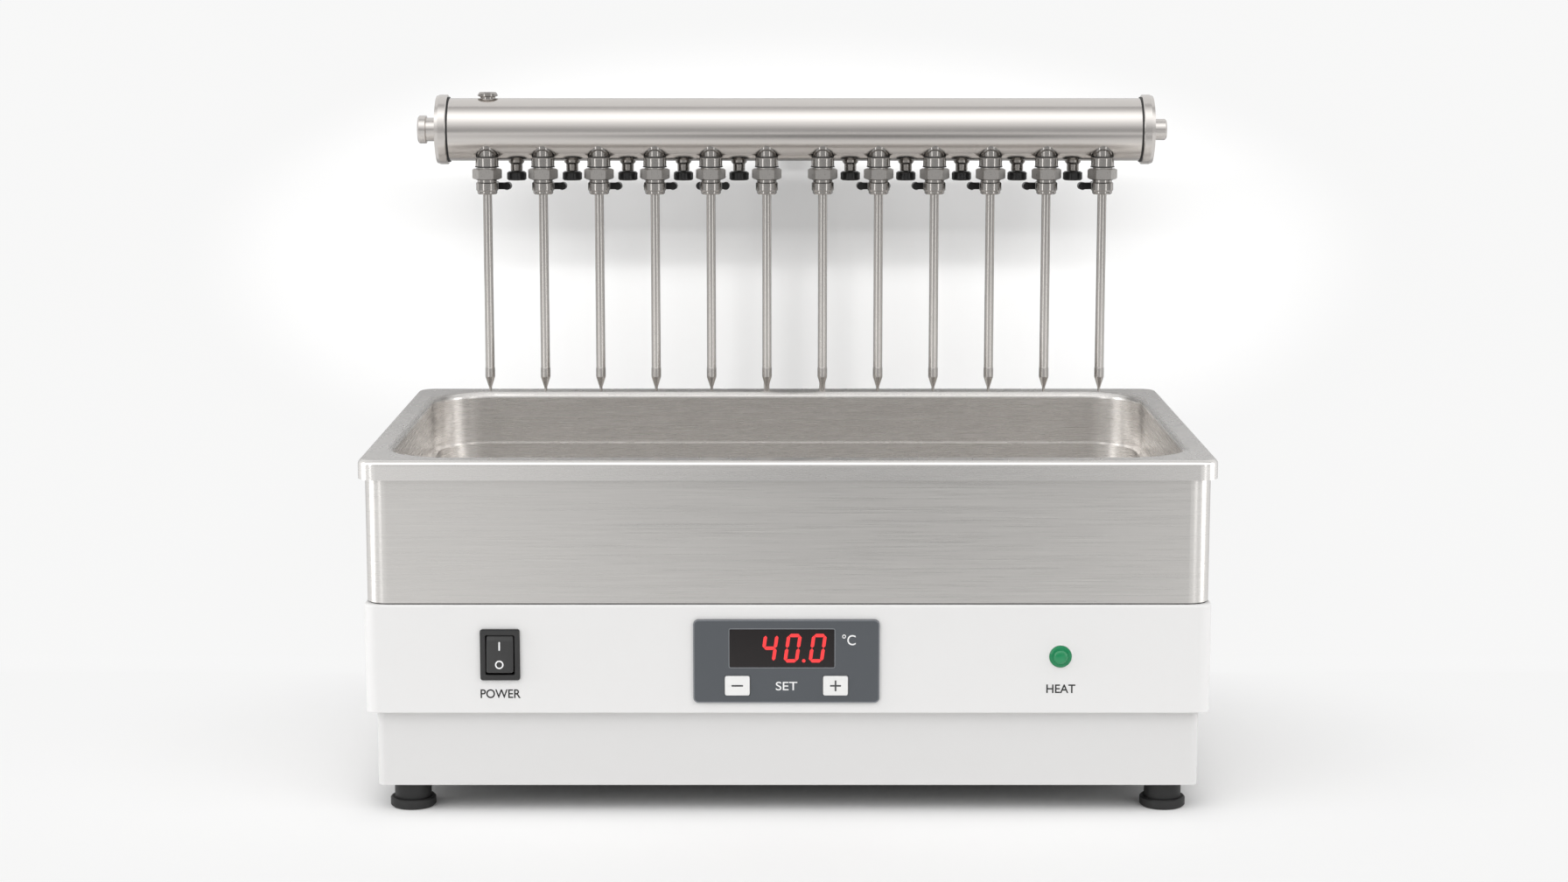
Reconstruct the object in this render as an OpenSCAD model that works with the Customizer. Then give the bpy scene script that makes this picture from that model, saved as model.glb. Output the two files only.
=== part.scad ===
// Nitrogen sample evaporator: a heated stainless bath under a twelve-needle gas manifold,
// which slides up and down a mast behind the bath. Lengths are in millimetres. X runs along
// the bath, Y from its front to its back, and Z up from the bench.

/* [Bath tank] */
// Width of the bath over its turned-down lip
bath_w = 533; // [500:1:600]
// Depth of the bath over its lip, front to back
bath_d = 325; // [300:5:380]
// Height of the turned-down lip
lip_h = 12.3; // [9:0.1:16]
// Radius of the rolled outer edge of the rim
lip_roll = 3.2; // [2.5:0.1:4]
// Corner radius of the rim, in plan
rim_corner = 12; // [9:1:20]
// Width of the rim strip at each side
rim_side = 16.5; // [14:0.5:22]
// Width of the rim strip at the front and the back
rim_front = 18; // [16:0.5:26]
// Corner radius of the basin, in plan
basin_corner = 40; // [30:1:60]
// Radius of the rolled edge into the basin
basin_roll = 4.5; // [3:0.1:6]
// Depth of the basin below the rim
basin_depth = 100; // [80:1:102]
// Depth of the rack ledge below the rim
ledge_drop = 37; // [20:1:50]
// How far the rack ledge steps in
ledge_step = 3.5; // [2:0.1:6]
// Radius between the basin's wall and floor
floor_round = 12; // [6:1:18]
// Thickness of the drawn sheet
sheet_t = 1.5; // [1:0.1:2]

/* [Jacket, housing and plinth] */
// Height of the jacket that shows under the lip
jacket_show = 77.9; // [60:0.1:100]
// Corner radius of the jacket
jacket_corner = 14; // [10:1:20]
// Thickness of the jacket's sheet
jacket_t = 1.2; // [0.8:0.1:2]
// Width of the jacket's flange on the housing
jacket_flange = 8; // [5:0.5:9]
// Thickness of the seal between jacket and housing
seal_t = 0.8; // [0.5:0.1:2]
// How far the seal is set in from the jacket's face
seal_in = 1; // [0.5:0.1:2]
// Height of the control housing
housing_h = 69; // [66:0.5:90]
// How far the housing stands out beyond the jacket
housing_out = 1.2; // [0.5:0.1:4]
// Corner radius of the housing
housing_corner = 8; // [6:0.5:12]
// Radius of the housing's soft top edge
housing_edge = 1.5; // [0.8:0.1:2]
// Radius of the housing's bottom edge
housing_foot_edge = 0.6; // [0.3:0.1:1.5]
// Wall of the housing and the plinth
shell_t = 2.5; // [2:0.1:3]
// Height of the plinth
plinth_h = 48; // [35:0.5:60]
// How far the plinth stands in from the housing
plinth_in = 6.2; // [4:0.1:12]
// Corner radius of the plinth
plinth_corner = 5; // [4:0.5:10]
// Width of the flanges inside the plinth
plinth_flange = 14; // [10:0.5:18]
// Thickness of the bottom plate
bottom_t = 1.5; // [1:0.1:3]
// Length of a vent slot in the bottom plate
vent_len = 40; // [20:1:60]
// Number of vent slots in each group
vent_count = 8; // [4:1:12]

/* [Feet] */
// Height of the feet
foot_h = 18; // [14:0.5:24]
// Diameter of a foot's base disc
foot_disc_d = 28.8; // [26:0.1:36]
// Thickness of a foot's base disc
foot_disc_h = 6.3; // [5:0.1:8]
// Diameter of a foot's stem
foot_stem_d = 23.3; // [18:0.1:25]
// Distance from the plinth's side to a foot's centre
foot_in_x = 19.8; // [16:0.1:40]
// Distance from the plinth's front or back to a foot's centre
foot_in_y = 19; // [16:0.5:40]
// Diameter of a foot's screw
foot_screw_d = 4; // [3:0.5:5]

/* [Heating] */
// Thickness of the heater mat under the basin
heater_t = 2; // [1:0.1:3]
// Distance from the basin's side walls to the heater mat
heater_in = 32; // [20:1:60]
// Thickness of the insulation slab under the heater
insulation_t = 10; // [5:0.5:15]
// Diameter of the temperature probe
probe_d = 5; // [3:0.1:6]
// Length of the temperature probe
probe_len = 40; // [20:1:60]

/* [Front panel] */
// Width of the control fascia
fascia_w = 116; // [110:0.5:150]
// Height of the control fascia
fascia_h = 53; // [52:0.5:58]
// Thickness of the fascia's face
fascia_t = 1.6; // [1:0.1:3]
// Corner radius of the fascia
fascia_corner = 3.3; // [2:0.1:6]
// Height of the fascia's centre above the housing's base
fascia_up = 33.5; // [32:0.1:36]
// Offset of the fascia's centre from the bath's centre
fascia_x = -0.9; // [-20:0.1:20]
// Width of the display window
window_w = 65.5; // [60:0.5:70]
// Height of the display window
window_h = 24.4; // [20:0.1:26]
// Offset of the window's centre, to the right of the fascia's
window_x = -2.8; // [-6:0.1:6]
// Offset of the window's centre above the fascia's
window_up = 8.3; // [7.5:0.1:9]
// Width of a key
key_w = 15.4; // [12:0.1:18]
// Height of a key
key_h = 12.3; // [8:0.1:13]
// Distance of each key from the fascia's centre line
key_x = 30.6; // [24:0.1:36]
// Distance of the keys below the fascia's centre
key_down = 15.4; // [14.5:0.1:16]
// How far a key stands out of the fascia
key_proud = 0.9; // [0.8:0.1:2]
// Travel of a key
key_travel = 0.8; // [0.5:0.1:0.8]
// Thickness of the circuit board
board_t = 1.6; // [1:0.1:2]
// Distance of the circuit board behind the fascia
board_back = 9; // [8:0.5:14]

/* [Power switch] */
// Width of the switch frame
switch_w = 24.7; // [22:0.1:28]
// Height of the switch frame
switch_h = 32.4; // [30:0.1:36]
// Width of the frame's border round the rocker
switch_border = 3.2; // [2.5:0.1:3.5]
// Thickness of the frame in front of the housing
switch_t = 2.2; // [1.5:0.1:3]
// Depth of the switch body behind the frame
switch_depth = 20; // [16:0.5:30]
// Distance of the switch from the bath's centre, to the left
switch_x = 179.2; // [120:0.1:200]
// Height of the switch's centre above the housing's base
switch_up = 37.6; // [30:0.1:40]
// Full angle through which the rocker turns
rocker_travel = 14; // [8:1:16]

/* [Heat lamp] */
// Diameter of the lamp's lens
lamp_d = 14; // [10:0.1:18]
// Height of the lens in front of the housing
lamp_proud = 3.4; // [2:0.1:5]
// Diameter of the lamp's body through the housing
lamp_body_d = 10; // [8:0.1:10]
// Distance of the lamp from the bath's centre, to the right
lamp_x = 169.8; // [120:0.1:200]
// Height of the lamp's centre above the housing's base
lamp_up = 36.3; // [30:0.1:40]

/* [Mains inlet] */
// Distance of the mains inlet from the bath's centre, to the left
inlet_x = 205; // [160:1:215]
// Height of the mains inlet's centre above the housing's base
inlet_up = 34; // [30:0.5:40]

/* [Gas manifold] */
// Offset of the manifold's centre from the bath's centre
manifold_x = 4.7; // [-5:0.1:5]
// Distance between neighbouring needles
pitch = 37; // [34:0.5:40]
// Distance from an end needle to the end of the tube
tube_end = 25.2; // [20:0.1:35]
// Outside diameter of the manifold tube
tube_d = 41.4; // [38:0.1:45]
// Wall of the manifold tube
tube_wall = 2; // [1.5:0.1:3]
// Height of the tube's axis above the rim, at the top of the lift
tube_rise = 194.4; // [180:0.1:230]
// Distance of the tube's axis behind the needles
tube_back = 12; // [9:0.1:13]
// Diameter of the end caps
cap_d = 46; // [43:0.1:50]
// Thickness of the end caps
cap_t = 7.4; // [5:0.1:10]
// Thickness of the end gaskets
gasket_t = 1; // [0.5:0.1:2]
// Diameter of the gas inlet's neck
inlet_neck_d = 15.6; // [12:0.1:17]
// Length of the gas inlet's neck
inlet_neck_h = 7.2; // [4:0.1:10]
// Diameter of the gas inlet's collar
inlet_collar_d = 18.6; // [18:0.1:24]
// Length of the gas inlet's collar
inlet_collar_h = 5.5; // [4:0.1:8]
// Diameter of the gas inlet's bore
inlet_bore_d = 8; // [5:0.1:9]
// Diameter of the blank stub
stub_d = 14; // [10:0.1:18]
// Length of the blank stub
stub_h = 9.5; // [6:0.1:14]
// Diameter of the plug on top of the tube
plug_d = 13.4; // [11:0.1:16]
// Height of the plug's head above the tube
plug_h = 4; // [3:0.1:6]

/* [Needle station] */
// Drop from the tube's axis to the top of a station's collar
neck_drop = 17.3; // [17:0.1:22]
// Diameter of the neck under the tube
neck_d = 10.5; // [9:0.1:12]
// Width of the weld bead round the neck
bead = 0.9; // [0.5:0.1:1.5]
// Diameter of the collar
collar_d = 15.2; // [14:0.1:17]
// Height of the collar
collar_h = 6.5; // [4:0.1:9]
// Width of the union nut across its flats
nut_af = 17; // [15.5:0.1:19]
// Height of the union nut
nut_h = 6.9; // [5:0.1:9]
// Height of the round step above the nut
nut_step_h = 1.3; // [0.8:0.1:2]
// Diameter of the groove under the nut
groove_d = 12.8; // [11:0.1:14]
// Height of the groove under the nut
groove_h = 2; // [1:0.1:3]
// Diameter of the stopcock body
cock_d = 14.7; // [13:0.1:17]
// Height of the stopcock body
cock_h = 5.5; // [5:0.1:8]
// Diameter of the stopcock body's lower end
cock_end_d = 13.2; // [10:0.1:14]
// Height of the stopcock body's lower end
cock_end_h = 2.5; // [2:0.1:4]
// Diameter of a needle tube
needle_d = 6; // [5:0.1:6.5]
// Bore of a needle tube
needle_bore = 4; // [2.5:0.1:4.5]
// Length of a needle tube below the stopcock
needle_len = 115.7; // [90:0.1:130]
// Diameter of the nozzle tip's collar
tip_d = 6.4; // [5.5:0.1:8]
// Height of the nozzle tip's collar
tip_h = 6.2; // [4:0.1:9]
// Height of the nozzle tip's cone
cone_h = 7.1; // [5:0.1:12]
// Diameter of the nozzle's nib
nib_d = 1.9; // [1.5:0.1:2.5]
// Height of the nozzle's nib
nib_h = 2.8; // [1:0.1:4]
// Bore of the nozzle
nozzle_bore = 0.9; // [0.5:0.1:1.2]

/* [Tap handles] */
// Length of a T-handle's bar
tap_bar = 22.4; // [16:0.1:24]
// Thickness of a T-handle's bar
tap_bar_t = 4.4; // [3:0.1:5]
// Diameter of the rounded ends of the bar
tap_lobe_d = 5.2; // [4:0.1:6]
// Distance from the needle to the bar's middle
tap_reach = 23; // [22:0.1:28]
// Diameter of the tap's plug
tap_plug_d = 3.2; // [2.5:0.1:3.4]
// Angle by which the outer taps are screwed in turned towards the middle
tap_turn = 7; // [0:0.5:8]
// The same angle at the fifth tap
tap_turn_fifth = 2; // [0:0.5:8]

/* [Flow knobs] */
// Diameter of a flow knob
knob_d = 12.9; // [10:0.1:13.5]
// Height of a flow knob
knob_h = 5.8; // [4:0.1:8]
// Diameter of the bonnet's flange
bonnet_flange_d = 10.4; // [9:0.1:12]
// Height of the bonnet's flange under the tube
bonnet_flange_h = 1.3; // [1:0.1:3]
// Diameter of the bonnet's neck
bonnet_neck_d = 7.9; // [6:0.1:9]
// Height of the bonnet's neck
bonnet_neck_h = 5.4; // [4:0.1:8]
// Diameter of the knob's stem
knob_stem_d = 3; // [2.5:0.1:4]
// Number of grip flutes round a knob
knob_flutes = 12; // [8:1:18]

/* [Lift mast] */
// Offset of the mast's middle from the bath's centre
mast_x = 5.25; // [-10:0.05:20]
// Distance between the inner faces of the mast bars
mast_gap = 36.6; // [34:0.1:46]
// Thickness of a mast bar
bar_t = 4; // [3:0.1:6]
// Depth of a mast bar, front to back
bar_d = 25; // [22:0.5:34]
// Clearance between the bath's lip and the bars
bar_clear = 5.5; // [4:0.5:10]
// Height of the bridge between the tops of the bars
bridge_h = 9.5; // [6:0.1:14]
// Height of the bars' tops above the tube's axis
bar_over = 12.6; // [12:0.1:20]
// Travel of the manifold
lift_travel = 80; // [40:1:90]
// Height of the lift carriage
carriage_h = 24; // [20:0.5:24]
// Thickness of the clamp plate behind the bars
clamp_plate_t = 5; // [3:0.5:8]
// Height of the clamp plate
clamp_plate_h = 20; // [16:0.5:20]
// Height of the mast's bracket
bracket_h = 54; // [50:1:58]
// Thickness of the bracket's sheet
bracket_t = 4; // [3:0.1:5]
// Overhang of the bracket's plate beyond the bars
bracket_ear = 18; // [16:0.5:25]
// Width of the manifold's arm
arm_w = 20; // [14:0.5:24]
// Height of the manifold's arm
arm_h = 14; // [10:0.5:16]
// Diameter of the clamp knob
clamp_d = 24; // [18:0.5:26]
// Thickness of the clamp knob
clamp_t = 12; // [8:0.5:16]
// Diameter of the clamp knob's stud
clamp_stud_d = 6; // [4:0.5:6]
// Reach of the clamp knob's stud
clamp_stud_len = 22; // [16:0.5:26]

/* [Fits] */
// Gap between two faces of different pieces that stay still
seat_gap = 0.3; // [0.2:0.05:0.5]
// Radial clearance of a shaft that turns in a bore
turn_fit = 0.05; // [0.02:0.01:0.1]
// Clearance of a face that slides along another
slide_fit = 0.15; // [0.1:0.01:0.3]
// Radial clearance of a screw or a spigot in its hole
screw_fit = 0.1; // [0.05:0.01:0.2]

/* [Hidden] */
$fn = 48;

// Each needle has its own tap handle, and the gaps but the middle one a flow knob, so the
// counts go with the names above.
stations = 12;
middle_gap = stations / 2;

// Heights of the stack, from the bench up
plinth_z = foot_h;
housing_z = plinth_z + plinth_h;
seal_z = housing_z + housing_h;
jacket_z = seal_z + seal_t;
lip_z = jacket_z + jacket_show;
rim_z = lip_z + lip_h;
plate_z = rim_z - sheet_t;
ledge_z = rim_z - ledge_drop;
floor_z = rim_z - basin_depth;

// Plan sizes of the stack
basin_w = bath_w - 2 * rim_side;
basin_d = bath_d - 2 * rim_front;
well_w = basin_w - 2 * ledge_step + 2 * sheet_t;
well_d = basin_d - 2 * ledge_step + 2 * sheet_t;
jacket_w = bath_w - 2 * (lip_roll + seat_gap);
jacket_d = bath_d - 2 * (lip_roll + seat_gap);
housing_w = jacket_w + 2 * housing_out;
housing_d = jacket_d + 2 * housing_out;
plinth_w = housing_w - 2 * plinth_in;
plinth_d = housing_d - 2 * plinth_in;
front_y = -housing_d / 2;
foot_x = plinth_w / 2 - foot_in_x;
foot_y = plinth_d / 2 - foot_in_y;
corners = [[1, 1], [-1, 1], [-1, -1], [1, -1]];

// Front panel
fascia_z = housing_z + fascia_up;
fascia_front = front_y - fascia_t;
fascia_lap = 3;
window_z = fascia_z + window_up;
window_cx = fascia_x + window_x;
window_lap = 1.5;
window_back = 1.2;
key_z = fascia_z - key_down;
key_corner = 1.5;
key_rim = 1.3;
key_flange_t = 1.5;
board_y = front_y + board_back;
standoff_d = 5;

// Power switch
switch_z = housing_z + switch_up;
switch_front = front_y - switch_t;
rocker_gap = 0.75;
rocker_w = switch_w - 2 * (switch_border + rocker_gap);
rocker_r = 11.7;
rocker_face = 6.2;
rocker_hollow = 1.6;
rocker_pivot_y = switch_front + 5.4;
rocker_pin_d = 2.4;
rocker_pin_len = 1.6;
rocker_rest = rocker_travel / 2;
switch_hole_h = 2 * (rocker_r * cos(rocker_rest) + rocker_face * sin(rocker_rest) + seat_gap);

// Heat lamp, mains inlet
lamp_z = housing_z + lamp_up;
inlet_z = housing_z + inlet_up;
mains_flange = [50, 24, 3];
mains_body = [27, 20, 19];
mains_recess = [24.2, 16.6, 15];
mains_pin = [2, 4, 13];
mains_screw_x = 20;

// Manifold: everything hangs from the axis of its tube
tube_z = rim_z + tube_rise;
tube_r = tube_d / 2;
needles_x = [for (i = [0:stations - 1]) manifold_x + (i - (stations - 1) / 2) * pitch];
knobs_x = [for (i = [0:stations - 2]) if (i != middle_gap - 1) needles_x[i] + pitch / 2];
tube_x0 = needles_x[0] - tube_end;
tube_len = (stations - 1) * pitch + 2 * tube_end;
tube_x1 = tube_x0 + tube_len;
cap_x0 = tube_x0 - gasket_t;
cap_x1 = tube_x1 + gasket_t;
spigot_h = 6;
plug_spigot_d = 8;

// Levels of a station
collar_z = tube_z - neck_drop;
nut_top_z = collar_z - collar_h;
hex_z = nut_top_z - nut_step_h;
nut_z = hex_z - nut_h;
groove_z = nut_z - groove_h;
cock_z = groove_z - cock_h;
cock_end_z = cock_z - cock_end_h;
tap_z = cock_end_z + cock_end_h + 1.45;
needle_z = cock_end_z - needle_len;
tip_z = needle_z - tip_h;
cone_z = tip_z - cone_h;
nib_z = cone_z - nib_h;
channel_d = 1.6;
boss_bore_d = 4;
boss_spigot_d = 11;
needle_socket = 1.6;
tip_spigot_h = 5;

// Taps: the two in the middle stand open, with their bars upright
tap_turns = [for (i = [0:stations - 1])
    i == middle_gap - 2 ? -tap_turn_fifth :
    i < middle_gap - 1 ? -tap_turn :
    i > middle_gap ? tap_turn : 0];
tap_open = [for (i = [0:stations - 1]) i == middle_gap - 1 || i == middle_gap];
tap_boss_d = 5.2;
tap_boss_end = 12;
tap_hub_d = 6.4;

// Flow knobs hang under the tube's axis
bonnet_z = tube_z - tube_r - bonnet_flange_h;
bonnet_end_z = bonnet_z - bonnet_neck_h;
knob_top_z = bonnet_end_z - seat_gap;
knob_z = knob_top_z - knob_h;
bonnet_spigot_d = 6;
bonnet_spigot_h = 1.6;
stem_len = 4.6;

// Mast, behind the bath
bar_y0 = bath_d / 2 + bar_clear;
bar_y1 = bar_y0 + bar_d;
bar_y = (bar_y0 + bar_y1) / 2;
bar_top_z = tube_z + bar_over;
bridge_z = bar_top_z - bridge_h;
bracket_z = housing_z + (housing_h - bracket_h) / 2;
carriage_z = bridge_z - seat_gap - carriage_h;
carriage_mid_z = carriage_z + carriage_h / 2;
carriage_w = mast_gap - 2 * slide_fit;
carriage_y0 = bar_y0 - slide_fit;
bar_out = mast_gap / 2 + bar_t;
clamp_plate_y = bar_y1 + slide_fit;
clamp_y = clamp_plate_y + clamp_plate_t + slide_fit;
arm_flange_t = 5;
saddle_w = 36;
saddle_h = 20;
saddle_back = 9;
screw_d = 5;
head_d = 9;
head_h = 2.7;

// The origin is the middle of the whole machine's footprint
rocker_front = rocker_pivot_y - rocker_face * cos(rocker_rest) - rocker_r * sin(rocker_rest);
middle_y = (rocker_front + clamp_y + clamp_t) / 2;

// ---- shapes used by more than one piece ----

// A rectangle with round corners, centred
module rounded_rect(w, d, r) {
    square([w - 2 * r, d], center = true);
    square([w, d - 2 * r], center = true);
    for (c = corners) {
        translate([c[0] * (w / 2 - r), c[1] * (d / 2 - r)]) circle(r);
    }
}

// A frame between two such rectangles
module rounded_ring(w, d, r, border_x, border_y, inner_r) {
    difference() {
        rounded_rect(w, d, r);
        rounded_rect(w - 2 * border_x, d - 2 * border_y, inner_r);
    }
}

// Sends a profile round a rounded rectangle. The profile's x is measured outwards from the
// centre of a corner, and its y is the height.
module sent_round(w, d, r) {
    for (side = [0, 180]) {
        rotate([0, 0, side]) translate([w / 2 - r, 0, 0]) rotate([90, 0, 0])
            linear_extrude(d - 2 * r, center = true) children();
        rotate([0, 0, side]) translate([0, d / 2 - r, 0]) rotate([90, 0, 90])
            linear_extrude(w - 2 * r, center = true) children();
    }
    for (k = [0:3]) {
        translate([corners[k][0] * (w / 2 - r), corners[k][1] * (d / 2 - r), 0])
            rotate([0, 0, 90 * k]) rotate_extrude(angle = 90) children();
    }
}

// A quarter of a ring about a centre, in the quadrant given by two signs
module quarter_ring(centre, r_out, r_in, side_x, side_y) {
    translate(centre) intersection() {
        difference() {
            circle(r_out);
            circle(r_in);
        }
        translate([side_x < 0 ? -r_out : 0, side_y < 0 ? -r_out : 0]) square(r_out);
    }
}

// A block with soft upright corners, standing on z
module block(w, d, h, r, z) {
    translate([0, 0, z]) linear_extrude(h) rounded_rect(w, d, r);
}

// A front-panel block: w along X, h along Z, from y0 back to y1, about a centre
module panel_block(w, h, r, x, z, y0, y1) {
    translate([x, y1, z]) rotate([90, 0, 0]) linear_extrude(y1 - y0) rounded_rect(w, h, r);
}

// A turned piece from a half profile of [radius, height] points
module turned(profile) {
    rotate_extrude() polygon(profile);
}

// A cylinder along X, Y or Z from a point
module rod_x(d, len) {
    rotate([0, 90, 0]) cylinder(d = d, h = len);
}
module rod_y(d, len) {
    rotate([-90, 0, 0]) cylinder(d = d, h = len);
}

module at_stations() {
    for (x = needles_x) {
        translate([x, 0, 0]) children();
    }
}

module at_knobs() {
    for (x = knobs_x) {
        translate([x, tube_back, 0]) children();
    }
}

// A button-head screw: the head's seat is at z = 0 and the shank goes down
module screw(d, shank, head, height) {
    cylinder(d = head, h = height);
    translate([0, 0, -shank]) cylinder(d = d, h = shank);
}

// ---- bath ----

// The rolled outer edge and the turned-down lip
module lip_profile() {
    quarter_ring([rim_corner - lip_roll, rim_z - lip_roll], lip_roll, lip_roll - sheet_t, 1, 1);
    translate([rim_corner - sheet_t, lip_z]) square([sheet_t, lip_h - lip_roll]);
}

// The rolled inner edge, the wall with its rack ledge, and the round into the floor
module basin_profile() {
    wall_x = basin_corner;
    lower_x = basin_corner - ledge_step;
    quarter_ring([wall_x + basin_roll, rim_z - basin_roll], basin_roll, basin_roll - sheet_t,
        -1, 1);
    translate([wall_x, ledge_z - sheet_t])
        square([sheet_t, rim_z - basin_roll - ledge_z + sheet_t]);
    translate([lower_x, ledge_z - sheet_t]) square([ledge_step + sheet_t, sheet_t]);
    translate([lower_x, floor_z + floor_round])
        square([sheet_t, ledge_z - floor_z - floor_round]);
    quarter_ring([lower_x - floor_round, floor_z + floor_round], floor_round + sheet_t,
        floor_round, 1, -1);
}

module bath_tank() {
    flat_w = basin_w - 2 * (ledge_step + floor_round);
    flat_d = basin_d - 2 * (ledge_step + floor_round);
    color([0.76, 0.75, 0.74]) {
        sent_round(bath_w, bath_d, rim_corner) lip_profile();
        translate([0, 0, plate_z]) linear_extrude(sheet_t)
            rounded_ring(bath_w - 2 * lip_roll, bath_d - 2 * lip_roll, rim_corner - lip_roll,
                rim_side - lip_roll - basin_roll, rim_front - lip_roll - basin_roll,
                basin_corner + basin_roll);
        sent_round(basin_w, basin_d, basin_corner) basin_profile();
        block(flat_w, flat_d, sheet_t, basin_corner - ledge_step - floor_round,
            floor_z - sheet_t);
    }
}

// ---- casings ----

module outer_jacket() {
    color([0.67, 0.65, 0.64]) {
        translate([0, 0, jacket_z]) linear_extrude(plate_z - jacket_z)
            rounded_ring(jacket_w, jacket_d, jacket_corner, jacket_t, jacket_t,
                jacket_corner - jacket_t);
        translate([0, 0, jacket_z]) linear_extrude(jacket_t)
            rounded_ring(jacket_w, jacket_d, jacket_corner, jacket_flange, jacket_flange,
                jacket_corner - jacket_t);
    }
}

module jacket_seal() {
    width = jacket_w - 2 * seal_in;
    depth = jacket_d - 2 * seal_in;
    color([0.12, 0.12, 0.12]) translate([0, 0, seal_z]) linear_extrude(seal_t)
        rounded_ring(width, depth, jacket_corner - seal_in, jacket_flange - seal_in,
            jacket_flange - seal_in, jacket_corner - jacket_t);
}

// The housing's wall, with a quarter round at its top and a smaller one at its bottom
module housing_profile() {
    inner_x = housing_corner - shell_t;
    top = housing_h - housing_edge;
    low = housing_foot_edge;
    translate([inner_x, low]) square([shell_t, top - low]);
    translate([inner_x, low]) square([shell_t - housing_edge, housing_h - low]);
    translate([inner_x, 0]) square([shell_t - low, top]);
    quarter_ring([housing_corner - housing_edge, top], housing_edge, 0, 1, 1);
    quarter_ring([housing_corner - low, low], low, 0, 1, -1);
}

module control_housing() {
    inside_w = housing_w - 2 * shell_t;
    inside_d = housing_d - 2 * shell_t;
    inside_r = housing_corner - shell_t;
    opening_w = well_w + 2 * seat_gap + 1;
    opening_d = well_d + 2 * seat_gap + 1;
    hole_w = switch_w - 2 * switch_border + 3;
    color([0.93, 0.93, 0.92]) difference() {
        union() {
            translate([0, 0, housing_z]) sent_round(housing_w, housing_d, housing_corner)
                housing_profile();
            translate([0, 0, seal_z - shell_t]) linear_extrude(shell_t)
                rounded_ring(inside_w, inside_d, inside_r, (inside_w - opening_w) / 2,
                    (inside_d - opening_d) / 2, basin_corner - ledge_step + sheet_t);
            translate([0, 0, housing_z]) linear_extrude(shell_t)
                rounded_ring(inside_w, inside_d, inside_r, plinth_flange + plinth_in,
                    plinth_flange + plinth_in, inside_r);
        }
        // Cut-outs for the fascia, the switch, the lamp, the mains inlet and the screws
        panel_block(fascia_w - 2 * fascia_lap, fascia_h - 2 * fascia_lap, fascia_corner,
            fascia_x, fascia_z, front_y - 1, front_y + shell_t + 1);
        panel_block(hole_w + 2 * screw_fit, switch_hole_h + 3 + 2 * screw_fit, 1, -switch_x,
            switch_z, front_y - 1, front_y + shell_t + 1);
        translate([lamp_x, front_y - 1, lamp_z]) rod_y(lamp_body_d + 2 * screw_fit,
            shell_t + 2);
        panel_block(mains_body[0] + 2 * screw_fit, mains_body[1] + 2 * screw_fit, 1, -inlet_x,
            inlet_z, -front_y - shell_t - 1, -front_y + 1);
        for (side = [-1, 1]) {
            translate([-inlet_x + side * mains_screw_x, -front_y - shell_t - 1, inlet_z])
                rod_y(3 + 2 * screw_fit, shell_t + 2);
        }
        bracket_screws() translate([0, 0, -shell_t - bracket_t - 1])
            cylinder(d = screw_d + 2 * screw_fit, h = shell_t + bracket_t + 2);
    }
}

module base_plinth() {
    inside_w = plinth_w - 2 * shell_t;
    inside_d = plinth_d - 2 * shell_t;
    color([0.9, 0.9, 0.89]) difference() {
        union() {
            translate([0, 0, plinth_z]) linear_extrude(plinth_h)
                rounded_ring(plinth_w, plinth_d, plinth_corner, shell_t, shell_t,
                    plinth_corner - shell_t);
            for (z = [plinth_z + bottom_t, housing_z - shell_t]) {
                translate([0, 0, z]) linear_extrude(shell_t)
                    rounded_ring(inside_w, inside_d, plinth_corner - shell_t,
                        plinth_flange, plinth_flange, plinth_corner - shell_t);
            }
            for (c = corners) {
                translate([c[0] * foot_x, c[1] * foot_y, plinth_z + bottom_t])
                    cylinder(d = 4 * foot_screw_d, h = 3 * shell_t);
            }
        }
        for (c = corners) {
            translate([c[0] * foot_x, c[1] * foot_y, plinth_z])
                cylinder(d = foot_screw_d + 2 * screw_fit, h = 5 * shell_t);
        }
    }
}

module bottom_plate() {
    vent_w = 4;
    vent_step = 9;
    color([0.6, 0.6, 0.6]) difference() {
        block(plinth_w - 2 * (shell_t + seat_gap), plinth_d - 2 * (shell_t + seat_gap),
            bottom_t, plinth_corner - shell_t, plinth_z);
        for (c = corners) {
            translate([c[0] * foot_x, c[1] * foot_y, plinth_z - 1])
                cylinder(d = foot_screw_d + 2 * screw_fit, h = bottom_t + 2);
        }
        for (side = [-1, 1], k = [0:vent_count - 1]) {
            translate([side * plinth_w / 4, (k - (vent_count - 1) / 2) * vent_step, 0])
                block(vent_len, vent_w, bottom_t + 2, 1.8, plinth_z - 1);
        }
    }
}

module rubber_feet() {
    disc_r = foot_disc_d / 2;
    stem_r = foot_stem_d / 2;
    recess_r = foot_screw_d + 0.5;
    bore_r = foot_screw_d / 2 + screw_fit;
    color([0.13, 0.13, 0.13]) for (c = corners) {
        translate([c[0] * foot_x, c[1] * foot_y, 0])
            turned([[recess_r, 0], [disc_r - 1.2, 0], [disc_r, 1.2], [disc_r, foot_disc_h - 0.8],
                [disc_r - 0.8, foot_disc_h], [stem_r, foot_disc_h], [stem_r, foot_h],
                [bore_r, foot_h], [bore_r, foot_disc_h], [recess_r, foot_disc_h]]);
    }
}

// Screws of the mast's bracket, seen from behind: their seats are on its plate
module bracket_screws() {
    for (side = [-1, 1], z = [bracket_z + 10, bracket_z + bracket_h - 10]) {
        translate([mast_x + side * (bar_out + bracket_ear / 2 + 1), -front_y + bracket_t, z])
            rotate([-90, 0, 0]) children();
    }
}

// Screws through each bar into the bracket's cheek
module bar_screws() {
    for (side = [-1, 1], z = [bracket_z + 12, bracket_z + bracket_h - 12]) {
        translate([mast_x + side * bar_out, bar_y, z]) rotate([0, side * 90, 0]) children();
    }
}

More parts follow.
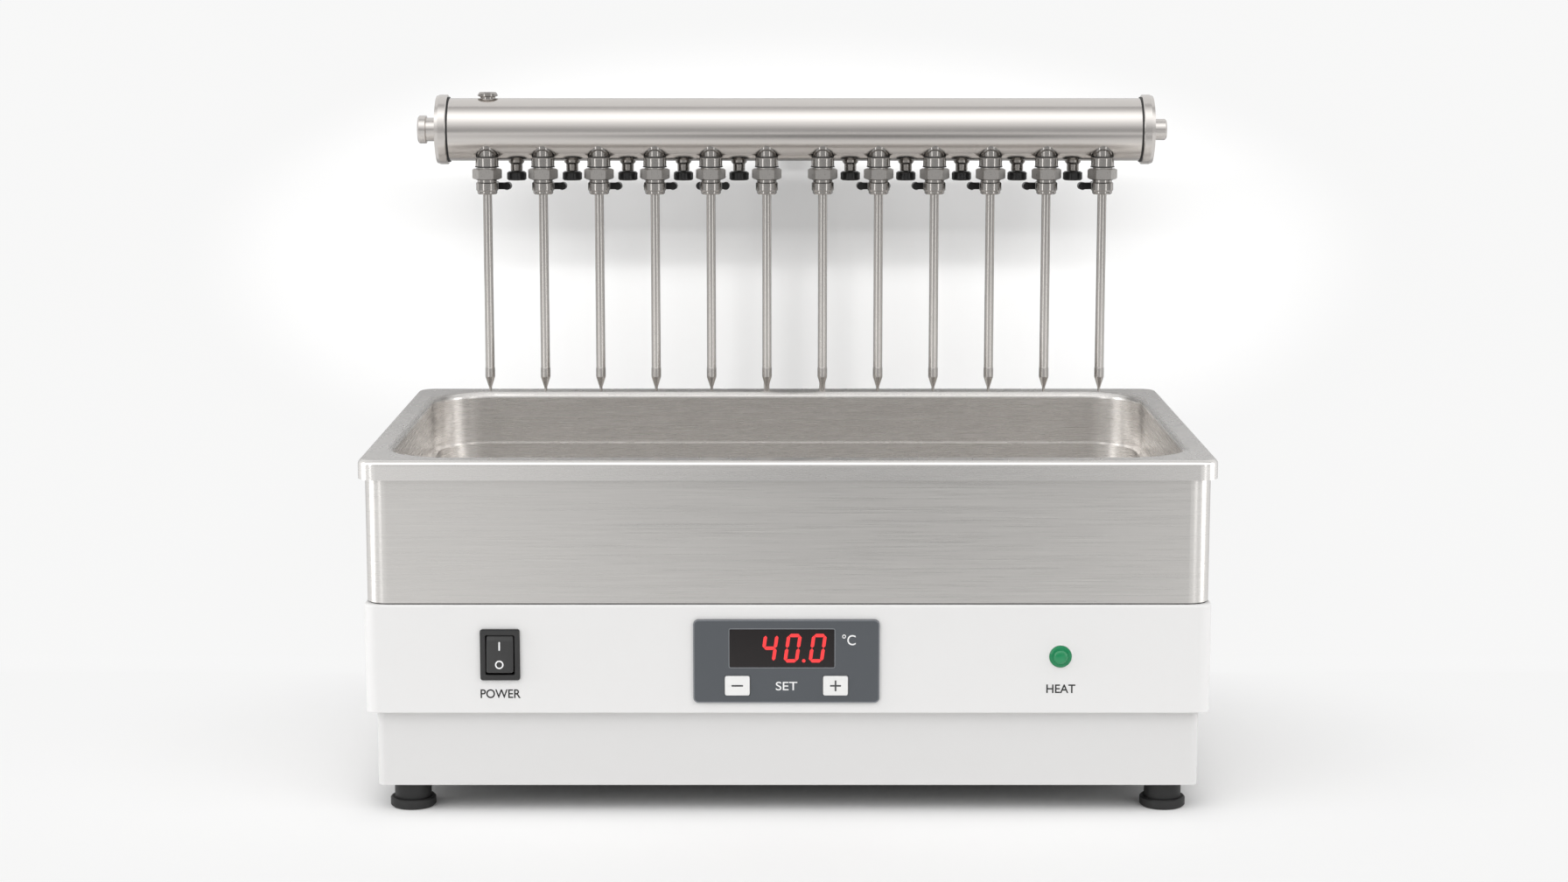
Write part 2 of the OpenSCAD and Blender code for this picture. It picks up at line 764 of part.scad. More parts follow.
module fasteners() {
    color([0.7, 0.7, 0.7]) {
        for (c = corners) {
            translate([c[0] * foot_x, c[1] * foot_y, foot_disc_h]) mirror([0, 0, 1])
                screw(foot_screw_d, foot_h - foot_disc_h + bottom_t + 2 * shell_t,
                    2 * foot_screw_d, 2.6);
        }
        bracket_screws() screw(screw_d, bracket_t + shell_t + 3, head_d, head_h);
        bar_screws() screw(screw_d, bar_t + bracket_t - 0.5, head_d, head_h);
        for (side = [-1, 1]) {
            translate([-inlet_x + side * mains_screw_x, -front_y + mains_flange[2], inlet_z])
                rotate([-90, 0, 0]) screw(3, mains_flange[2] + shell_t + 2, 5.6, 1.6);
        }
    }
}

// ---- heating ----

module heater_mat() {
    color([0.75, 0.4, 0.2]) block(well_w - 2 * heater_in, well_d - 2 * heater_in, heater_t, 8,
        floor_z - sheet_t - heater_t);
}

// A slab under the heater, and a band round the tank inside the jacket
module insulation() {
    slab_z = floor_z - sheet_t - heater_t - insulation_t;
    band_in = 3;
    color([0.85, 0.83, 0.75]) {
        block(well_w - 2 * heater_in + 10, well_d - 2 * heater_in + 10, insulation_t, 10,
            slab_z);
        translate([0, 0, ledge_z]) linear_extrude(plate_z - ledge_z - basin_roll)
            rounded_ring(basin_w + 2 * (sheet_t + seat_gap + band_in),
                basin_d + 2 * (sheet_t + seat_gap + band_in), basin_corner + band_in, band_in,
                band_in, basin_corner + sheet_t + seat_gap);
    }
}

// The probe lies in a clip against the tank's floor, beside the heater
module temperature_probe() {
    clip_w = probe_d + 3;
    clip_h = probe_d + 1.2;
    probe_x = well_w / 2 - heater_in / 2 - 5;
    floor_under = floor_z - sheet_t;
    color([0.8, 0.8, 0.8]) {
        translate([probe_x, -probe_len / 2, floor_under - clip_h / 2]) rod_y(probe_d, probe_len);
        difference() {
            translate([probe_x, 0, 0])
                block(clip_w, probe_len / 2, clip_h, 1, floor_under - clip_h);
            translate([probe_x, -probe_len / 2 - 1, floor_under - clip_h / 2])
                rod_y(probe_d + 2 * screw_fit, probe_len + 2);
        }
    }
}

// ---- front panel ----

module control_fascia() {
    opening_w = fascia_w - 2 * fascia_lap - 2 * seat_gap;
    opening_h = fascia_h - 2 * fascia_lap - 2 * seat_gap;
    key_hole = [key_w + 2 * seat_gap, key_h + 2 * seat_gap];
    color([0.31, 0.33, 0.35]) difference() {
        union() {
            panel_block(fascia_w, fascia_h, fascia_corner, fascia_x, fascia_z, fascia_front,
                front_y);
            panel_block(opening_w, opening_h, fascia_corner - seat_gap, fascia_x, fascia_z,
                front_y - 0.5, front_y + 1);
        }
        panel_block(window_w + 2 * screw_fit, window_h + 2 * screw_fit, 0.8, window_cx,
            window_z, fascia_front - 1, front_y + 2);
        for (side = [-1, 1]) {
            panel_block(key_hole[0], key_hole[1], key_corner, fascia_x + side * key_x, key_z,
                fascia_front - 1, front_y + 2);
        }
    }
}

// A step behind the window's face seats it on the back of the fascia
module display_window() {
    color([0.08, 0.05, 0.05]) {
        panel_block(window_w, window_h, 0.7, window_cx, window_z, fascia_front + 0.3,
            front_y + 1 + window_back);
        panel_block(window_w + 2 * window_lap, window_h + 2 * window_lap, 1, window_cx,
            window_z, front_y + 1 + seat_gap, front_y + 1 + window_back);
    }
}

// Board, display block, key switches and the four pillars behind the fascia
module circuit_board() {
    board_w = fascia_w - 2 * fascia_lap - 4;
    board_h = fascia_h - 2 * fascia_lap - 2;
    window_back_y = front_y + 1 + window_back;
    switch_y = board_y - (board_back - 1 - key_flange_t - key_travel - 2.6);
    color([0.1, 0.35, 0.2]) {
        panel_block(board_w, board_h, 1, fascia_x, fascia_z, board_y, board_y + board_t);
        panel_block(window_w - 6, window_h - 4, 0.5, window_cx, window_z,
            window_back_y + seat_gap, board_y);
        for (side = [-1, 1]) {
            panel_block(6, 6, 0.5, fascia_x + side * key_x, key_z, switch_y, board_y);
            translate([fascia_x + side * (board_w / 2 - standoff_d / 2 - 0.5), front_y + 1,
                fascia_z + board_h / 2 - standoff_d / 2 - 0.5])
                rod_y(standoff_d, board_back - 1);
        }
        translate([fascia_x, front_y + 1, key_z]) rod_y(standoff_d, board_back - 1);
    }
}

// A key: cap, retaining flange behind the fascia, and stem
module key(side) {
    stem_y = front_y + 1 + seat_gap + key_flange_t;
    switch_y = board_y - (board_back - 1 - key_flange_t - key_travel - 2.6);
    x = fascia_x + side * key_x;
    color([0.93, 0.93, 0.93]) {
        panel_block(key_w, key_h, key_corner - seat_gap, x, key_z, fascia_front - key_proud,
            front_y + 1 + seat_gap + 0.5);
        panel_block(key_w + 2 * key_rim, key_h + 2 * key_rim, key_corner, x, key_z,
            front_y + 1 + seat_gap, stem_y);
        translate([x, stem_y - 0.5, key_z])
            rod_y(3.5, switch_y - key_travel - seat_gap - stem_y + 0.5);
    }
}

module minus_button() {
    key(-1);
}

module plus_button() {
    key(1);
}

// ---- power switch ----

module switch_frame() {
    hole_w = switch_w - 2 * switch_border;
    body_w = hole_w + 3;
    body_h = switch_hole_h + 3;
    back_y = front_y + switch_depth;
    color([0.17, 0.17, 0.17]) difference() {
        union() {
            panel_block(switch_w, switch_h, 1.6, -switch_x, switch_z, switch_front + 0.5,
                front_y);
            panel_block(switch_w - 1, switch_h - 1, 1.3, -switch_x, switch_z, switch_front,
                front_y);
            panel_block(body_w, body_h, 0.8, -switch_x, switch_z, front_y - 0.5, back_y);
        }
        panel_block(hole_w, switch_hole_h, 1, -switch_x, switch_z, switch_front - 1,
            back_y - 4);
        translate([-switch_x - hole_w / 2 - rocker_pin_len, rocker_pivot_y, switch_z])
            rod_x(rocker_pin_d + 2 * turn_fit, hole_w + 2 * rocker_pin_len);
    }
}

// The rocker's section about its pivot, with its face towards -x and its top towards +y
module rocker_section() {
    polygon([[-rocker_face, rocker_r], [-rocker_face + rocker_hollow, 0],
        [-rocker_face, -rocker_r], [-1.5, -rocker_r], [4, -6], [4, 6], [-1.5, rocker_r]]);
}

// It lies with its top pressed in
module power_rocker() {
    pin_reach = rocker_w / 2 + rocker_gap + rocker_pin_len - seat_gap;
    color([0.16, 0.16, 0.16]) translate([-switch_x, rocker_pivot_y, switch_z])
        rotate([-rocker_rest, 0, 0]) {
            rotate([90, 0, 90]) linear_extrude(rocker_w, center = true) rocker_section();
            translate([-pin_reach, 0, 0]) rod_x(rocker_pin_d, 2 * pin_reach);
        }
}

// ---- lamp and mains inlet ----

module heat_lamp() {
    r = lamp_d / 2;
    button_r = r * 0.64;
    body_r = lamp_body_d / 2;
    nut_r = body_r + 2.5;
    color([0, 0.5, 0.3]) translate([lamp_x, front_y, lamp_z]) rotate([90, 0, 0]) {
        turned([[0, -18], [body_r - 1, -18], [body_r - 1, -10], [body_r, -10], [body_r, 0],
            [r, 0], [r, 0.8], [r - 1.2, 2], [button_r, 2.3], [button_r - 0.7, lamp_proud],
            [0, lamp_proud]]);
        difference() {
            translate([0, 0, -shell_t - 3]) cylinder(r = nut_r, h = 3, $fn = 6);
            translate([0, 0, -shell_t - 4]) cylinder(r = body_r + screw_fit, h = 5);
        }
    }
}

// A three-pin inlet: flange outside, body inside, blades in the recess
module mains_inlet() {
    face_y = -front_y + mains_flange[2];
    pin_y = face_y - mains_recess[2] - 0.5;
    cut = 4;
    w = mains_recess[0] / 2;
    h = mains_recess[1] / 2;
    color([0.12, 0.12, 0.12]) translate([-inlet_x, 0, inlet_z]) {
        difference() {
            union() {
                panel_block(mains_flange[0], mains_flange[1], 4, 0, 0, -front_y, face_y);
                panel_block(mains_body[0], mains_body[1], 1, 0, 0, -front_y - mains_body[2],
                    -front_y + 0.5);
            }
            translate([0, face_y + 1, 0]) rotate([90, 0, 0])
                linear_extrude(mains_recess[2] + 1)
                polygon([[-w, -h], [w, -h], [w, h - cut], [w - cut, h], [cut - w, h],
                    [-w, h - cut]]);
            for (side = [-1, 1]) {
                translate([side * mains_screw_x, -front_y - 1, 0])
                    rod_y(3 + 2 * screw_fit, mains_flange[2] + 2);
            }
        }
        for (p = [[-7, -1.5], [7, -1.5], [0, 2.5]]) {
            panel_block(mains_pin[0], mains_pin[1], 0.4, p[0], p[1], pin_y,
                pin_y + mains_pin[2]);
        }
    }
}

// ---- lift mast ----

// Plate on the housing's back with a cheek inside each bar
module mast_bracket() {
    plate_w = 2 * (bar_out + bracket_ear);
    cheek_x = mast_gap / 2 - bracket_t;
    color([0.6, 0.59, 0.58]) difference() {
        union() {
            panel_block(plate_w, bracket_h, 3, mast_x, bracket_z + bracket_h / 2, -front_y,
                -front_y + bracket_t);
            for (side = [-1, 1]) {
                translate([mast_x + (side > 0 ? cheek_x : -cheek_x - bracket_t),
                    -front_y + bracket_t - 0.5, bracket_z])
                    cube([bracket_t, bar_y1 + front_y - bracket_t + 0.5, bracket_h]);
            }
        }
        bracket_screws() translate([0, 0, -bracket_t - 1])
            cylinder(d = screw_d + 2 * screw_fit, h = bracket_t + 2);
        bar_screws() translate([0, 0, -bar_t - bracket_t - 1])
            cylinder(d = screw_d + 2 * screw_fit, h = bar_t + bracket_t + 2);
    }
}

// Two bars joined by a bridge at the top
module mast_frame() {
    color([0.65, 0.64, 0.63]) difference() {
        union() {
            for (side = [-1, 1]) {
                translate([mast_x + (side > 0 ? mast_gap / 2 : -bar_out), bar_y0, bracket_z])
                    cube([bar_t, bar_d, bar_top_z - bracket_z]);
            }
            translate([mast_x - mast_gap / 2 - 0.5, bar_y0, bridge_z])
                cube([mast_gap + 1, bar_d, bridge_h]);
        }
        bar_screws() translate([0, 0, -bar_t - 1])
            cylinder(d = screw_d + 2 * screw_fit, h = bar_t + 2);
    }
}

// Block between the bars, and behind them the clamp plate, both bored for the clamp's stud
module lift_carriage() {
    block_back = bar_y1 - 2 * seat_gap;
    color([0.7, 0.69, 0.68]) difference() {
        union() {
            translate([mast_x - carriage_w / 2, carriage_y0, carriage_z])
                cube([carriage_w, block_back - carriage_y0, carriage_h]);
            panel_block(2 * bar_out, clamp_plate_h, 2, mast_x, carriage_mid_z, clamp_plate_y,
                clamp_plate_y + clamp_plate_t);
        }
        translate([mast_x, clamp_y - clamp_stud_len - 1, carriage_mid_z])
            rod_y(clamp_stud_d + 2 * turn_fit, clamp_stud_len + 1);
    }
}

// Flange on the carriage, arm, and a saddle hollowed to the tube
module manifold_arm() {
    flange_y = carriage_y0 - arm_flange_t;
    flange_w = 2 * bar_out - 2;
    tube_back_y = tube_back + tube_r;
    color([0.66, 0.65, 0.64]) difference() {
        union() {
            translate([mast_x - flange_w / 2, flange_y, carriage_z + 1])
                cube([flange_w, arm_flange_t, carriage_h - 2]);
            translate([mast_x - arm_w / 2, tube_back_y - 2, carriage_mid_z - arm_h / 2])
                cube([arm_w, flange_y - tube_back_y + 2.5, arm_h]);
            translate([mast_x - saddle_w / 2, tube_back + tube_r * 0.7,
                carriage_mid_z - saddle_h / 2])
                cube([saddle_w, tube_r * 0.3 + saddle_back, saddle_h]);
        }
        translate([tube_x0, tube_back, tube_z]) rod_x(tube_d, tube_len);
    }
}

// Fluted knob behind the clamp plate, with its stud in the carriage
module lift_clamp_knob() {
    r = clamp_d / 2;
    hub_r = 7;
    color([0.07, 0.07, 0.07])
        translate([mast_x, clamp_y, carriage_mid_z]) rotate([-90, 0, 0]) {
            difference() {
                turned([[0, 0], [hub_r, 0], [hub_r, 2], [r - 1, 2], [r, 3], [r, clamp_t - 1.5],
                    [r - 1.5, clamp_t], [0, clamp_t]]);
                for (k = [0:7]) {
                    rotate([0, 0, 45 * k]) translate([r + 1.6, 0, 1])
                        cylinder(r = 3, h = clamp_t);
                }
            }
            translate([0, 0, -clamp_stud_len]) cylinder(d = clamp_stud_d,
                h = clamp_stud_len + 0.5);
        }
}

// ---- manifold ----

module manifold_tube() {
    color([0.72, 0.71, 0.69]) difference() {
        translate([tube_x0, tube_back, tube_z]) rod_x(tube_d, tube_len);
        translate([tube_x0 - 1, tube_back, tube_z]) rod_x(tube_d - 2 * tube_wall, tube_len + 2);
        at_stations() translate([0, 0, tube_z - tube_r]) cylinder(d = boss_bore_d, h = tube_r);
        at_knobs() translate([0, 0, tube_z - tube_r - 1])
            cylinder(d = bonnet_spigot_d + 2 * screw_fit, h = tube_wall + 2);
        translate([needles_x[0], tube_back, tube_z])
            cylinder(d = plug_spigot_d + 2 * screw_fit, h = tube_r + 1);
    }
}

// An end cap with its spigot, turned about X and pointing away from the tube
module end_cap(bore_d) {
    r = cap_d / 2;
    spigot_r = tube_r - tube_wall - screw_fit;
    difference() {
        turned([[0, -gasket_t - spigot_h], [spigot_r, -gasket_t - spigot_h], [spigot_r, 0],
            [r - 0.5, 0], [r, 0.5], [r, cap_t - 2.2], [r - 0.8, cap_t], [0, cap_t]]);
        translate([0, 0, -gasket_t - spigot_h - 1])
            cylinder(d = bore_d, h = cap_t + gasket_t + spigot_h + 2);
    }
}

module end_caps() {
    color([0.7, 0.69, 0.67]) {
        translate([cap_x0, tube_back, tube_z]) rotate([0, -90, 0]) end_cap(inlet_bore_d + 2);
        translate([cap_x1, tube_back, tube_z]) rotate([0, 90, 0])
            end_cap(stub_d / 2 + 2 * screw_fit);
    }
}

module end_gaskets() {
    color([0.12, 0.11, 0.1]) for (x = [cap_x0, tube_x1]) {
        translate([x, tube_back, tube_z]) difference() {
            rod_x(tube_d + 1.6, gasket_t);
            translate([-1, 0, 0]) rod_x(tube_d - 2 * tube_wall, gasket_t + 2);
        }
    }
}

// Neck, grooved collar and through bore, with a spigot in the left cap
module gas_inlet_fitting() {
    neck_r = inlet_neck_d / 2;
    collar_r = inlet_collar_d / 2;
    bore_r = inlet_bore_d / 2;
    spigot_r = bore_r + 1 - screw_fit;
    reach = inlet_neck_h + inlet_collar_h;
    color([0.7, 0.69, 0.67]) translate([cap_x0 - cap_t, tube_back, tube_z]) rotate([0, -90, 0])
        turned([[bore_r, -cap_t], [spigot_r, -cap_t], [spigot_r, 0], [neck_r, 0],
            [neck_r, inlet_neck_h], [collar_r - 0.4, inlet_neck_h],
            [collar_r, inlet_neck_h + 0.5], [collar_r, reach - 1], [collar_r - 1, reach],
            [bore_r + 0.6, reach], [bore_r, reach - 0.6]]);
}

module end_stub() {
    r = stub_d / 2;
    spigot_r = r / 2;
    color([0.7, 0.69, 0.67]) translate([cap_x1 + cap_t, tube_back, tube_z]) rotate([0, 90, 0])
        turned([[0, -cap_t], [spigot_r, -cap_t], [spigot_r, 0], [r, 0], [r, stub_h - 1],
            [r - 1, stub_h], [0, stub_h]]);
}

// A plug with a domed, ringed head over a spigot in the tube
module top_plug() {
    r = plug_d / 2;
    spigot_r = plug_spigot_d / 2;
    color([0.72, 0.71, 0.69]) difference() {
        translate([needles_x[0], tube_back, tube_z + tube_r])
            turned([[0, -tube_wall], [spigot_r, -tube_wall], [spigot_r, -0.8], [r - 1.7, -0.8],
                [r - 1.7, 0.8], [r, 1.5], [r, plug_h - 1.6], [r - 0.5, plug_h - 1.4],
                [r - 0.5, plug_h - 0.9], [r - 1.4, plug_h], [0, plug_h]]);
        difference() {
            translate([needles_x[0] - plug_d, tube_back, tube_z]) rod_x(tube_d, 2 * plug_d);
            translate([needles_x[0], tube_back, tube_z]) cylinder(r = spigot_r, h = tube_d);
        }
    }
}

// ---- needle stations ----

// Neck, weld bead and collar, cut to the tube, with a threaded end for the nut
module station_bosses() {
    collar_r = collar_d / 2;
    neck_r = neck_d / 2;
    spigot_r = boss_spigot_d / 2;
    spigot_end = nut_z + 1;
    color([0.68, 0.67, 0.65]) at_stations() difference() {
        union() {
            turned([[0, spigot_end], [spigot_r, spigot_end], [spigot_r, nut_top_z],
                [collar_r - 0.4, nut_top_z], [collar_r, nut_top_z + 0.4],
                [collar_r, collar_z - 0.9], [collar_r - 0.9, collar_z], [neck_r + 0.5, collar_z],
                [neck_r, collar_z + 0.5], [neck_r, tube_z], [0, tube_z]]);
            intersection() {
                translate([0, 0, collar_z]) cylinder(r = neck_r + bead, h = tube_r);
                translate([-neck_d, tube_back, tube_z]) rod_x(tube_d + 2 * bead, 2 * neck_d);
            }
        }
        translate([-neck_d - 1, tube_back, tube_z]) rod_x(tube_d, 2 * neck_d + 2);
        translate([0, 0, spigot_end - 1]) cylinder(d = boss_bore_d, h = tube_r + nut_h);
    }
}

// A hexagon with a flat to the front, chamfered top and bottom, under a round step
module union_nuts() {
    corner_r = nut_af / sqrt(3);
    bore_r = boss_spigot_d / 2 + screw_fit;
    flat_r = nut_af / 2;
    color([0.66, 0.65, 0.63]) at_stations() difference() {
        union() {
            intersection() {
                translate([0, 0, nut_z]) cylinder(r = corner_r, h = nut_h, $fn = 6);
                turned([[0, nut_z], [flat_r, nut_z], [corner_r + 0.1, nut_z + 0.8],
                    [corner_r + 0.1, hex_z - 0.8], [flat_r, hex_z], [0, hex_z]]);
            }
            translate([0, 0, hex_z - 0.5]) cylinder(d = groove_d, h = nut_step_h + 0.5);
        }
        translate([0, 0, nut_z - 1]) cylinder(r = bore_r, h = nut_h + nut_step_h + 2);
    }
}

// Stopcock body: groove, barrel and tapered end, with the tap's boss at the back
module stopcock_bodies() {
    r = cock_d / 2;
    end_r = cock_end_d / 2;
    groove_r = groove_d / 2;
    color([0.68, 0.67, 0.65]) for (i = [0:stations - 1]) {
        translate([needles_x[i], 0, 0]) difference() {
            union() {
                turned([[0, cock_end_z], [end_r - 0.8, cock_end_z], [end_r, cock_end_z + 0.8],
                    [end_r, cock_z - 0.5], [r - 0.3, cock_z], [r, cock_z + 0.3],
                    [r, groove_z - 0.6], [r - 0.6, groove_z], [groove_r, groove_z],
                    [groove_r, nut_z], [0, nut_z]]);
                rotate([0, 0, tap_turns[i]]) translate([0, 0, tap_z])
                    rod_y(tap_boss_d, tap_boss_end);
            }
            translate([0, 0, cock_end_z - 1])
                cylinder(d = channel_d, h = cock_h + cock_end_h + groove_h + 2);
            translate([0, 0, cock_end_z - 1])
                cylinder(d = needle_d + 2 * screw_fit, h = needle_socket + 1);
            rotate([0, 0, tap_turns[i]]) translate([0, -r + 2.5, tap_z])
                rod_y(tap_plug_d + 2 * turn_fit, tap_boss_end + r);
        }
    }
}

module needle_tubes() {
    top_z = cock_end_z + needle_socket - screw_fit;
    color([0.72, 0.71, 0.69]) at_stations() difference() {
        translate([0, 0, needle_z]) cylinder(d = needle_d, h = top_z - needle_z);
        translate([0, 0, needle_z - 1]) cylinder(d = needle_bore, h = top_z - needle_z + 2);
    }
}

module nozzle_tips() {
    r = tip_d / 2;
    spigot_r = needle_bore / 2 - screw_fit;
    bore_r = nozzle_bore / 2;
    nib_r = nib_d / 2;
    top_z = needle_z + tip_spigot_h;
    color([0.7, 0.69, 0.67]) at_stations()
        turned([[bore_r, nib_z], [nib_r - 0.3, nib_z], [nib_r, nib_z + 0.3], [nib_r, cone_z],
            [r, tip_z], [r, needle_z - 0.3], [r - 0.2, needle_z], [spigot_r, needle_z],
            [spigot_r, top_z], [bore_r, top_z]]);
}

// ---- taps and flow knobs ----

// A black T-handle: bar with round ends, hub, and the plug with its cross hole
module tap_handle(i) {
    bar_half = tap_bar / 2;
    straight = bar_half - tap_lobe_d / 2;
    hub_y = tap_boss_end + seat_gap;
    bar_y_start = tap_reach - tap_lobe_d / 2;
    plug_in = cock_d / 2 - 3;
    color([0.05, 0.05, 0.05]) translate([needles_x[i], 0, 0]) rotate([0, 0, tap_turns[i]])
        translate([0, 0, tap_z]) rotate([0, tap_open[i] ? 90 : 0, 0]) {
            translate([0, hub_y, 0]) rod_y(tap_hub_d - 1.6, bar_y_start - hub_y + 1);
            translate([0, bar_y_start, 0]) rod_y(tap_hub_d, tap_lobe_d);
            translate([-straight, bar_y_start + 0.4, -tap_bar_t / 2])
                cube([2 * straight, tap_lobe_d - 0.8, tap_bar_t]);
            for (side = [-1, 1]) {
                translate([side * straight, bar_y_start, 0]) rod_y(tap_lobe_d, tap_lobe_d);
            }
            difference() {
                translate([0, -plug_in, 0]) rod_y(tap_plug_d, plug_in + hub_y + 1);
                translate([-tap_plug_d, 0, 0]) rod_x(channel_d, 2 * tap_plug_d);
            }
        }
}

// Bonnets screwed up into the tube, each with a bore for its knob's stem
module knob_bonnets() {
    flange_r = bonnet_flange_d / 2;
    neck_r = bonnet_neck_d / 2;
    spigot_r = bonnet_spigot_d / 2;
    tube_low = tube_z - tube_r;
    color([0.25, 0.24, 0.23]) at_knobs() difference() {
        turned([[0, bonnet_end_z], [neck_r - 0.4, bonnet_end_z], [neck_r, bonnet_end_z + 0.4],
            [neck_r, bonnet_z - 0.8], [flange_r - 0.5, bonnet_z], [flange_r, bonnet_z + 0.4],
            [flange_r, tube_low + 1], [spigot_r, tube_low + 1],
            [spigot_r, tube_low + bonnet_spigot_h], [0, tube_low + bonnet_spigot_h]]);
        difference() {
            translate([-bonnet_flange_d, 0, tube_z]) rod_x(tube_d, 2 * bonnet_flange_d);
            cylinder(r = spigot_r, h = tube_z);
        }
        translate([0, 0, bonnet_end_z - 1])
            cylinder(d = knob_stem_d + 2 * turn_fit, h = stem_len + seat_gap + 1);
    }
}

// A black fluted knob with its stem
module flow_knob(i) {
    r = knob_d / 2;
    stem_r = knob_stem_d / 2;
    color([0.05, 0.05, 0.05]) translate([knobs_x[i], tube_back, 0]) {
        difference() {
            turned([[0, knob_z], [r - 0.9, knob_z], [r, knob_z + 0.7], [r, knob_top_z - 0.9],
                [r - 1.1, knob_top_z], [0, knob_top_z]]);
            for (k = [0:knob_flutes - 1]) {
                rotate([0, 0, (k + 0.5) * 360 / knob_flutes]) translate([r + 0.65, 0, knob_z - 1])
                    cylinder(r = 0.9, h = knob_h + 2);
            }
        }
        translate([0, 0, knob_top_z - 0.5]) cylinder(r = stem_r, h = stem_len + 0.5);
    }
}

// Moves the machine so that the middle of its footprint is the origin
module placed() {
    translate([0, -middle_y, 0]) children();
}

placed() bath_tank();
placed() outer_jacket();
placed() jacket_seal();
placed() control_housing();
placed() base_plinth();
placed() bottom_plate();
placed() rubber_feet();
placed() fasteners();
placed() heater_mat();
placed() insulation();
placed() temperature_probe();
placed() control_fascia();
placed() display_window();
placed() circuit_board();
placed() switch_frame();
placed() heat_lamp();
placed() mains_inlet();
placed() mast_bracket();
placed() mast_frame();
placed() power_rocker();
placed() minus_button();
placed() plus_button();
placed() lift_carriage();
placed() manifold_arm();
placed() lift_clamp_knob();
placed() manifold_tube();
placed() end_caps();
placed() end_gaskets();
placed() gas_inlet_fitting();
placed() end_stub();
placed() top_plug();
placed() station_bosses();
placed() union_nuts();
placed() stopcock_bodies();
placed() needle_tubes();
placed() nozzle_tips();
placed() knob_bonnets();
placed() tap_handle(0);  // tap_handle_01
placed() tap_handle(1);  // tap_handle_02
placed() tap_handle(2);  // tap_handle_03
placed() tap_handle(3);  // tap_handle_04
placed() tap_handle(4);  // tap_handle_05
placed() tap_handle(5);  // tap_handle_06
placed() tap_handle(6);  // tap_handle_07
placed() tap_handle(7);  // tap_handle_08
placed() tap_handle(8);  // tap_handle_09
placed() tap_handle(9);  // tap_handle_10
placed() tap_handle(10);  // tap_handle_11
placed() tap_handle(11);  // tap_handle_12
placed() flow_knob(0);  // flow_knob_01
placed() flow_knob(1);  // flow_knob_02
placed() flow_knob(2);  // flow_knob_03
placed() flow_knob(3);  // flow_knob_04
placed() flow_knob(4);  // flow_knob_05
placed() flow_knob(5);  // flow_knob_06
placed() flow_knob(6);  // flow_knob_07
placed() flow_knob(7);  // flow_knob_08
placed() flow_knob(8);  // flow_knob_09
placed() flow_knob(9);  // flow_knob_10
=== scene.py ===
# %% [markdown]
# # A nitrogen sample evaporator
# A bench instrument that blows gas through twelve needles into sample tubes, which stand in
# a heated steel bath. The CAD model brings every solid part in its true place, and this
# lesson dresses it: a studio, finishes for steel, paint, rubber and plastic, and the small
# things that CAD leaves out, such as lettering and lit digits.

import math

import bmesh
import bpy
from mathutils import Matrix, Vector


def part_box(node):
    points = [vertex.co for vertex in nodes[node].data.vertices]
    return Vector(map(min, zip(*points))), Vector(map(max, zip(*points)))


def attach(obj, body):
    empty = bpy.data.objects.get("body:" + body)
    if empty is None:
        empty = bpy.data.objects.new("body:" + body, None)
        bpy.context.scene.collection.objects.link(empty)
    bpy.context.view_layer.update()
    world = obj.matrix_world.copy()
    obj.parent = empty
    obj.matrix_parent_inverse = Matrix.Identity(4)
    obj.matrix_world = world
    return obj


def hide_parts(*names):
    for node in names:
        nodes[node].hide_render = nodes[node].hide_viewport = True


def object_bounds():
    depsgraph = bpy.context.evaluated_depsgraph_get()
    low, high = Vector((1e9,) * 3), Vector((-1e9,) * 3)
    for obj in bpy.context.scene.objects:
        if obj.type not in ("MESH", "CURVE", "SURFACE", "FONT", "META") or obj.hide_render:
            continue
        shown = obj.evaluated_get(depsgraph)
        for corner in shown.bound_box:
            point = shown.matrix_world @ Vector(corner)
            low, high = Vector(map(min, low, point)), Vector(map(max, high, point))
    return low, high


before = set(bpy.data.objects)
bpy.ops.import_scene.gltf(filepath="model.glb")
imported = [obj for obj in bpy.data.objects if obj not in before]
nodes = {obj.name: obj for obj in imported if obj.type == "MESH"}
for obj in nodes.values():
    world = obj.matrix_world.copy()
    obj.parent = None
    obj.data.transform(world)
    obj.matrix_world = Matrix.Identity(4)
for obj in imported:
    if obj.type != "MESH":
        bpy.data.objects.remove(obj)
bpy.context.view_layer.update()
cad_low, cad_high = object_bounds()
for end, corner in (("from", cad_low), ("to", cad_high)):
    print("CAD box", end, tuple(round(v, 4) for v in corner))

# %% [markdown]
# Lengths are easier to read in millimetres, and the front panel is laid out from the middle
# of the bath. These few helpers turn such places into the metres of the frame.

# %% Places and sizes
MM = 0.001
bath_low, bath_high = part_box("bath_tank")
bath_middle_y = (bath_low.y + bath_high.y) / 2


def place(x, y, z):
    """A point given in millimetres from the middle of the bath, in the frame's metres."""
    return Vector((x * MM, bath_middle_y + y * MM, z * MM))


print("bath's middle is at y =", round(bath_middle_y, 5))

# %% [markdown]
# The camera comes first, since all looks are judged through it. The photograph was taken from
# about two metres, a little above the manifold, with a moderately long lens, so upright lines
# stay nearly upright. The lens follows from the picture's width and its focal length in pixels.

# %% Camera
PICTURE_WIDTH = 1792
FOCAL_PIXELS = 3350
CAMERA_PITCH = 8.974
CAMERA_PLACE = (-2.4, -1943, 519.7)
SENSOR = 36.0
NEAREST, FURTHEST = 0.05, 50

